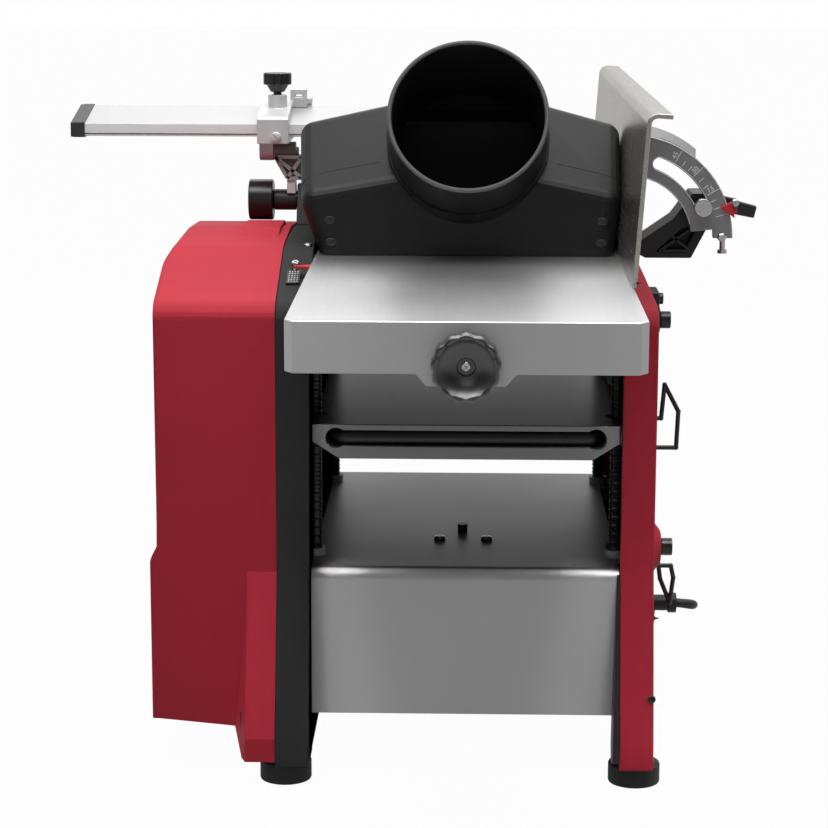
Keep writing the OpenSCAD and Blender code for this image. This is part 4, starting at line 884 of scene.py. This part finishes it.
def makePlate(c):
    turn = Matrix.Rotation(math.radians(c["lean"]), 4, "X")
    at = Matrix.Translation(spot(*c["middle"])) @ turn @ Matrix.Translation((0, 0, c["lift"] / 1000))
    grown("scaleHoles", holeGraph(c), "frame", place=at,
          sizes={"Across": c["across"], "Down": c["down"], **inMetres(c, "wide", "long", "hole")})


makePlate(plateSet)

# Guard bar: dark line low on its front, painted shade of its groove
barSet = {"left": -287.5, "right": 11.5, "front": 40.0, "groove": 420.8, "bead": 0.4}
groove = [spot(barSet[end], barSet["front"], barSet["groove"]) for end in ("left", "right")]
grown("barGrooveShade", darkBead, "bar", lineMesh("barGrooveShade", [groove]), sizes=inMetres(barSet, "bead"))

# Feed roller: ribs that grip the timber
ribSet = {"place": (0.0, -62.0, 308.5), "count": 40, "length": 198.0, "radius": 13.0, "rib": 0.9}


def ribGraph():
    g = Graph("rollerRibs", Count=40, Length=0.2, Radius=0.013, Rib=0.0009)
    angle = g.node("GeometryNodeInputIndex") * (2 * math.pi) / g.into("Count")
    around = g.vector(y=g.into("Radius") * g.maths("COSINE", angle), z=g.into("Radius") * g.maths("SINE", angle))
    points = g.node("GeometryNodePoints", {"Count": g.into("Count"), "Position": around})
    rib = g.node("GeometryNodeMeshCube", {"Size": g.vector(g.into("Length"), g.into("Rib"), g.into("Rib"))})
    return g.end(g.spread(points, rib, Rotation=g.vector(x=angle + math.pi / 4)), "groundSteel")


grown("rollerRibs", ribGraph(), "roller_in", place=Matrix.Translation(spot(*ribSet["place"])),
      sizes={"Count": ribSet["count"], **inMetres(ribSet, "length", "radius", "rib")})
print("plate holes, bar groove and roller ribs made")

# Lift chain: rollers and side plates set along its loop round the four screws
chainSet = {"across": 103.0, "along": 115.0, "radius": 13.1, "height": 131.0, "pitch": 6.4, "bends": 8,
            "plate": (1.6, 0.5), "stretch": 2.4, "apart": 1.15, "roller": (1.2, 2.6)}


def chainGraph(c):
    g = Graph("chainLinks", Pitch=0.0064)
    path = g.node("GeometryNodeMeshToCurve", {0: g.into("Geometry")})
    spaced = g.node("GeometryNodeResampleCurve", {"Curve": path, "Length": g.into("Pitch")}, mode="LENGTH")
    plate, roller = (g.disc(10, radius / 1000, depth / 1000) for radius, depth in (c["plate"], c["roller"]))
    stretched = g.node("GeometryNodeTransform", {"Geometry": plate, "Scale": (c["stretch"], 1, 1)})
    link = g.tree.nodes.new("GeometryNodeJoinGeometry")
    for side in (-1, 1):
        g.feed(link.inputs[0], g.moved(stretched, (0, 0, side * c["apart"] / 1000)))
    g.feed(link.inputs[0], roller)
    aimed = g.node("FunctionNodeAlignRotationToVector", {"Vector": g.node("GeometryNodeInputTangent")},
                   axis="X", pivot_axis="Z")
    return g.end(g.spread(spaced, Wire(g, link.outputs[0]), Rotation=aimed), "steelBlack")


def makeChain(c):
    loop = []
    for corner, (sx, sy) in enumerate(((1, 1), (-1, 1), (-1, -1), (1, -1))):
        for i in range(c["bends"] + 1):
            a = math.pi / 2 * (corner + i / c["bends"])
            loop.append(spot(sx * c["across"] + c["radius"] * math.cos(a),
                             sy * c["along"] + c["radius"] * math.sin(a), c["height"]))
    chain = grown("liftChain", chainGraph(c), "frame", lineMesh("liftChain", [loop], True),
                  sizes=inMetres(c, "pitch"))
    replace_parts(chain, "lift_chain")


makeChain(chainSet)
print("lift chain linked")

# Small rounded fittings: body, finish, place, half sizes, and the node listed beside each
# the black block on the flange is painted shade in its slot
fitSet = {"flangeSlotShade": ("frame", "bracketBlack", (-149.95, -168.0, 42.0), (1.6, 2.0, 7.5), "drive_cover"),
          "fenceTip": ("fence", "footRubber", (106.5, -230.0, 350.6), (2.6, 3.0, 2.6), "feet"),
          "panelButton": ("frame", "knobBlack", (-117.0, -107.0, 340.6), (3.4, 2.6, 2.0), "depth_knob"),
          "glandPeg": ("frame", "knobBlack", (136.5, -20.0, 74.0), (5.0, 3.4, 3.6), "cable_gland"),
          "switchMark": ("switch", "paintWhite", (142.0, -60.0, 304.0), (0.3, 0.6, 2.4), "spindle_bushes")}
fitRound = 0.9  # share of the least half size


def makeFitting(name, body, finish, at, half, like):
    shape = bmesh.new()
    bmesh.ops.create_cube(shape, size=2.0)
    for vert in shape.verts:
        vert.co = spot(*(a + c * h for a, c, h in zip(at, vert.co, half)))
    bmesh.ops.bevel(shape, geom=shape.edges[:], offset=min(half) * fitRound / 1000, segments=3, affect="EDGES")
    mesh = meshFrom(name, shape)
    mesh.shade_smooth()
    newPiece(name, mesh, finish, body)


for name, fitting in fitSet.items():
    makeFitting(name, *fitting)
print("small fittings:", len(fitSet))


def ringed(middle, radius, x, count=48):
    turns = [2 * math.pi * i / count for i in range(count)]
    return [spot(x, middle[0] + radius * math.cos(a), middle[1] + radius * math.sin(a)) for a in turns]


def sleeve(middle, outer, bore, left, right):
    shape = lathe([ringed(middle, outer, left), ringed(middle, outer, right), ringed(middle, bore, right),
                   ringed(middle, bore, left), ringed(middle, outer, left)], False)
    bmesh.ops.remove_doubles(shape, verts=shape.verts, dist=1e-6)
    bmesh.ops.recalc_face_normals(shape, faces=shape.faces)
    return shape


def prism(outline, near, far):
    return lathe([[spot(x, near, z) for x, z in outline], [spot(x, far, z) for x, z in outline]])


def bar(start, end, half, near, far):
    run = (Vector(end) - Vector(start)).normalized() * half
    side = Vector((-run.y, run.x))
    a, b = Vector(start), Vector(end)
    return prism([a - side, b - side, b + side, a + side], near, far)


def gathered(name, shapes):
    whole = bmesh.new()
    layer = whole.faces.layers.float.new("share")
    for shape, share in shapes:
        known = len(whole.faces)
        whole.from_mesh(meshFrom(name + "Shape", shape))
        whole.faces.ensure_lookup_table()
        for face in whole.faces[known:]:
            face[layer] = share
    return smoothed(meshFrom(name, whole), "sharp")


# Guard arm: a ribbed panel over a bright block, on a black sleeve round the lock shaft; the panel's dark tone
# between the ribs is painted shade
armSet = {"left": -143.0, "right": -127.3, "swing": (60.0, 371.0), "pin": (60.0, 407.0), "sleeve": (7.7, 6.6),
          "eye": (6.8, 3.06), "block": [(-133.5, 376.5), (-127.3, 376.5), (-127.3, 388.0), (-133.5, 388.0)],
          "panel": [(-133.5, 387.0), (-122.0, 387.0), (-122.0, 404.0), (-142.8, 404.0)],
          "front": 53.0, "back": 67.0,
          "ribs": [((-133.2, 387.6), (-142.2, 403.4)), ((-133.2, 387.6), (-122.4, 403.4)),
                   ((-142.2, 403.4), (-122.4, 387.6)), ((-142.4, 403.2), (-122.4, 403.2)),
                   ((-133.4, 387.6), (-122.4, 387.6))], "rib": 1.3, "raise": 2.2,
          # the panel's low share against its ribs is painted shade in the pockets
          "bright": {"sleeve": 0.0, "eye": 0.3, "block": 1.0, "panel": 0.1, "ribs": 0.6}}


def makeArm(a):
    bright = a["bright"]
    shapes = [(sleeve(a["swing"], *a["sleeve"], a["left"], a["right"]), bright["sleeve"]),
              (sleeve(a["pin"], *a["eye"], a["left"], a["right"]), bright["eye"]),
              (prism(a["block"], a["front"] - 1, a["back"]), bright["block"]),
              (prism(a["panel"], a["front"], a["back"]), bright["panel"])]
    shapes += [(bar(one, two, a["rib"], a["front"] - a["raise"], a["front"] + 1), bright["ribs"])
               for one, two in a["ribs"]]
    arm = newPiece("guardArm", gathered("guardArm", shapes), "armGrey", "arm")
    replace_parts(arm, "guard_arm")


makeArm(armSet)

# Guard bar: sleeves of the end caps round its ends
capSet = {"spans": [(-288.4, -280.6), (5.5, 12.4)],
          "outline": [(39.1, 418.1), (39.1, 428.9), (90.9, 438.9), (90.9, 418.1)]}
caps = [(lathe([[spot(x, y, z) for y, z in capSet["outline"]] for x in span]), 0.0) for span in capSet["spans"]]
newPiece("capSleeves", gathered("capSleeves", caps), "capGrey", "bar")

# Fence quadrant: bright lines on its face as painted highlights along its raised borders, and the deep rim behind
# its upper arc
rimSet = {"pivot": (115.0, 351.0), "face": -6.05, "bead": 0.4, "arcs": [(73.9, 2, 91), (44.9, 14, 82)],
          "slot": (57.5, 4.9), "slotSpan": (23.6, 68.6), "radii": (72.4, 74.5), "flare": 4.5,
          "walls": [(50, 73, 7.0), (73, 91.5, -0.2)], "back": 38.0,
          "arcSteps": 30, "slotSteps": 16, "endSteps": 10, "wallSteps": 12}


def makeRim(r):
    cx, cz = r["pivot"]

    def at(radius, degree, y):
        a = math.radians(degree)
        return spot(cx + radius * math.cos(a), y, cz + radius * math.sin(a))

    def sweep(first, last, steps):
        return [first + (last - first) * i / steps for i in range(steps + 1)]

    lines = [[at(radius, d, r["face"]) for d in sweep(first, last, r["arcSteps"])]
             for radius, first, last in r["arcs"]]
    middle, half = r["slot"]
    low, high = r["slotSpan"]
    ring = [at(middle + half, d, r["face"]) for d in sweep(low, high, r["slotSteps"])]
    for degree, start in ((high, 0), (low, 180)):
        centre = at(middle, degree, r["face"])
        for turn in sweep(start, start + 180, r["endSteps"])[1:-1]:
            a = math.radians(degree + turn)
            ring.append(centre + Vector((math.cos(a), 0, math.sin(a))) * half / 1000)
        if degree == high:
            ring += [at(middle - half, d, r["face"]) for d in sweep(high, low, r["slotSteps"])]
    # bright beads as painted highlights on the edges of the rim, arc and slot
    grown("quadrantLines", beadGraph("brightBead", "clampBright"), "fence",
          lineMesh("quadrantLines", lines + [ring + ring[:1]]), sizes=inMetres(r, "bead"))
    inner, outer = r["radii"]
    walls = [(lathe([[at(inner, d, near), at(outer, d, near), at(outer + r["flare"], d, r["back"]),
                      at(inner + r["flare"], d, r["back"])]
                     for d in sweep(first, last, r["wallSteps"])]), 0.0) for first, last, near in r["walls"]]
    newPiece("quadrantRim", gathered("quadrantRim", walls), "castGrey", "fence")


makeRim(rimSet)

# Fence bracket: crossed ribs on its front
crossSet = {"lines": [((139.0, 358.6), (159.5, 342.2)), ((139.0, 342.2), (161.5, 358.6)),
                      ((137.5, 341.8), (157.5, 341.8))], "half": 0.9, "near": -0.1, "far": 8.0}
ribs = [(bar(one, two, crossSet["half"], crossSet["near"], crossSet["far"]), 0.0)
        for one, two in crossSet["lines"]]
newPiece("bracketRibs", gathered("bracketRibs", ribs), "bracketBlack", "frame")

# Dark plates on the inner sides of the right legs, ahead of the base
legSet = {"outer": 104.0, "corners": [(102.2, -154.5, 142.0), (99.8, -184.0, 33.0), (99.6, -184.0, 20.0),
                                      (99.6, -178.0, 16.5), (99.6, -166.0, 16.5), (99.8, -157.0, 24.0),
                                      (100.2, -154.5, 42.0)]}
plates = [(lathe([[spot(legSet["outer"], side * y, z) for _, y, z in legSet["corners"]],
                  [spot(x, side * y, z) for x, y, z in legSet["corners"]]]), 0.0) for side in (1, -1)]
newPiece("legPlates", gathered("legPlates", plates), "bracketBlack", "frame")
print("arm, caps, quadrant rim, bracket ribs and leg plates made")
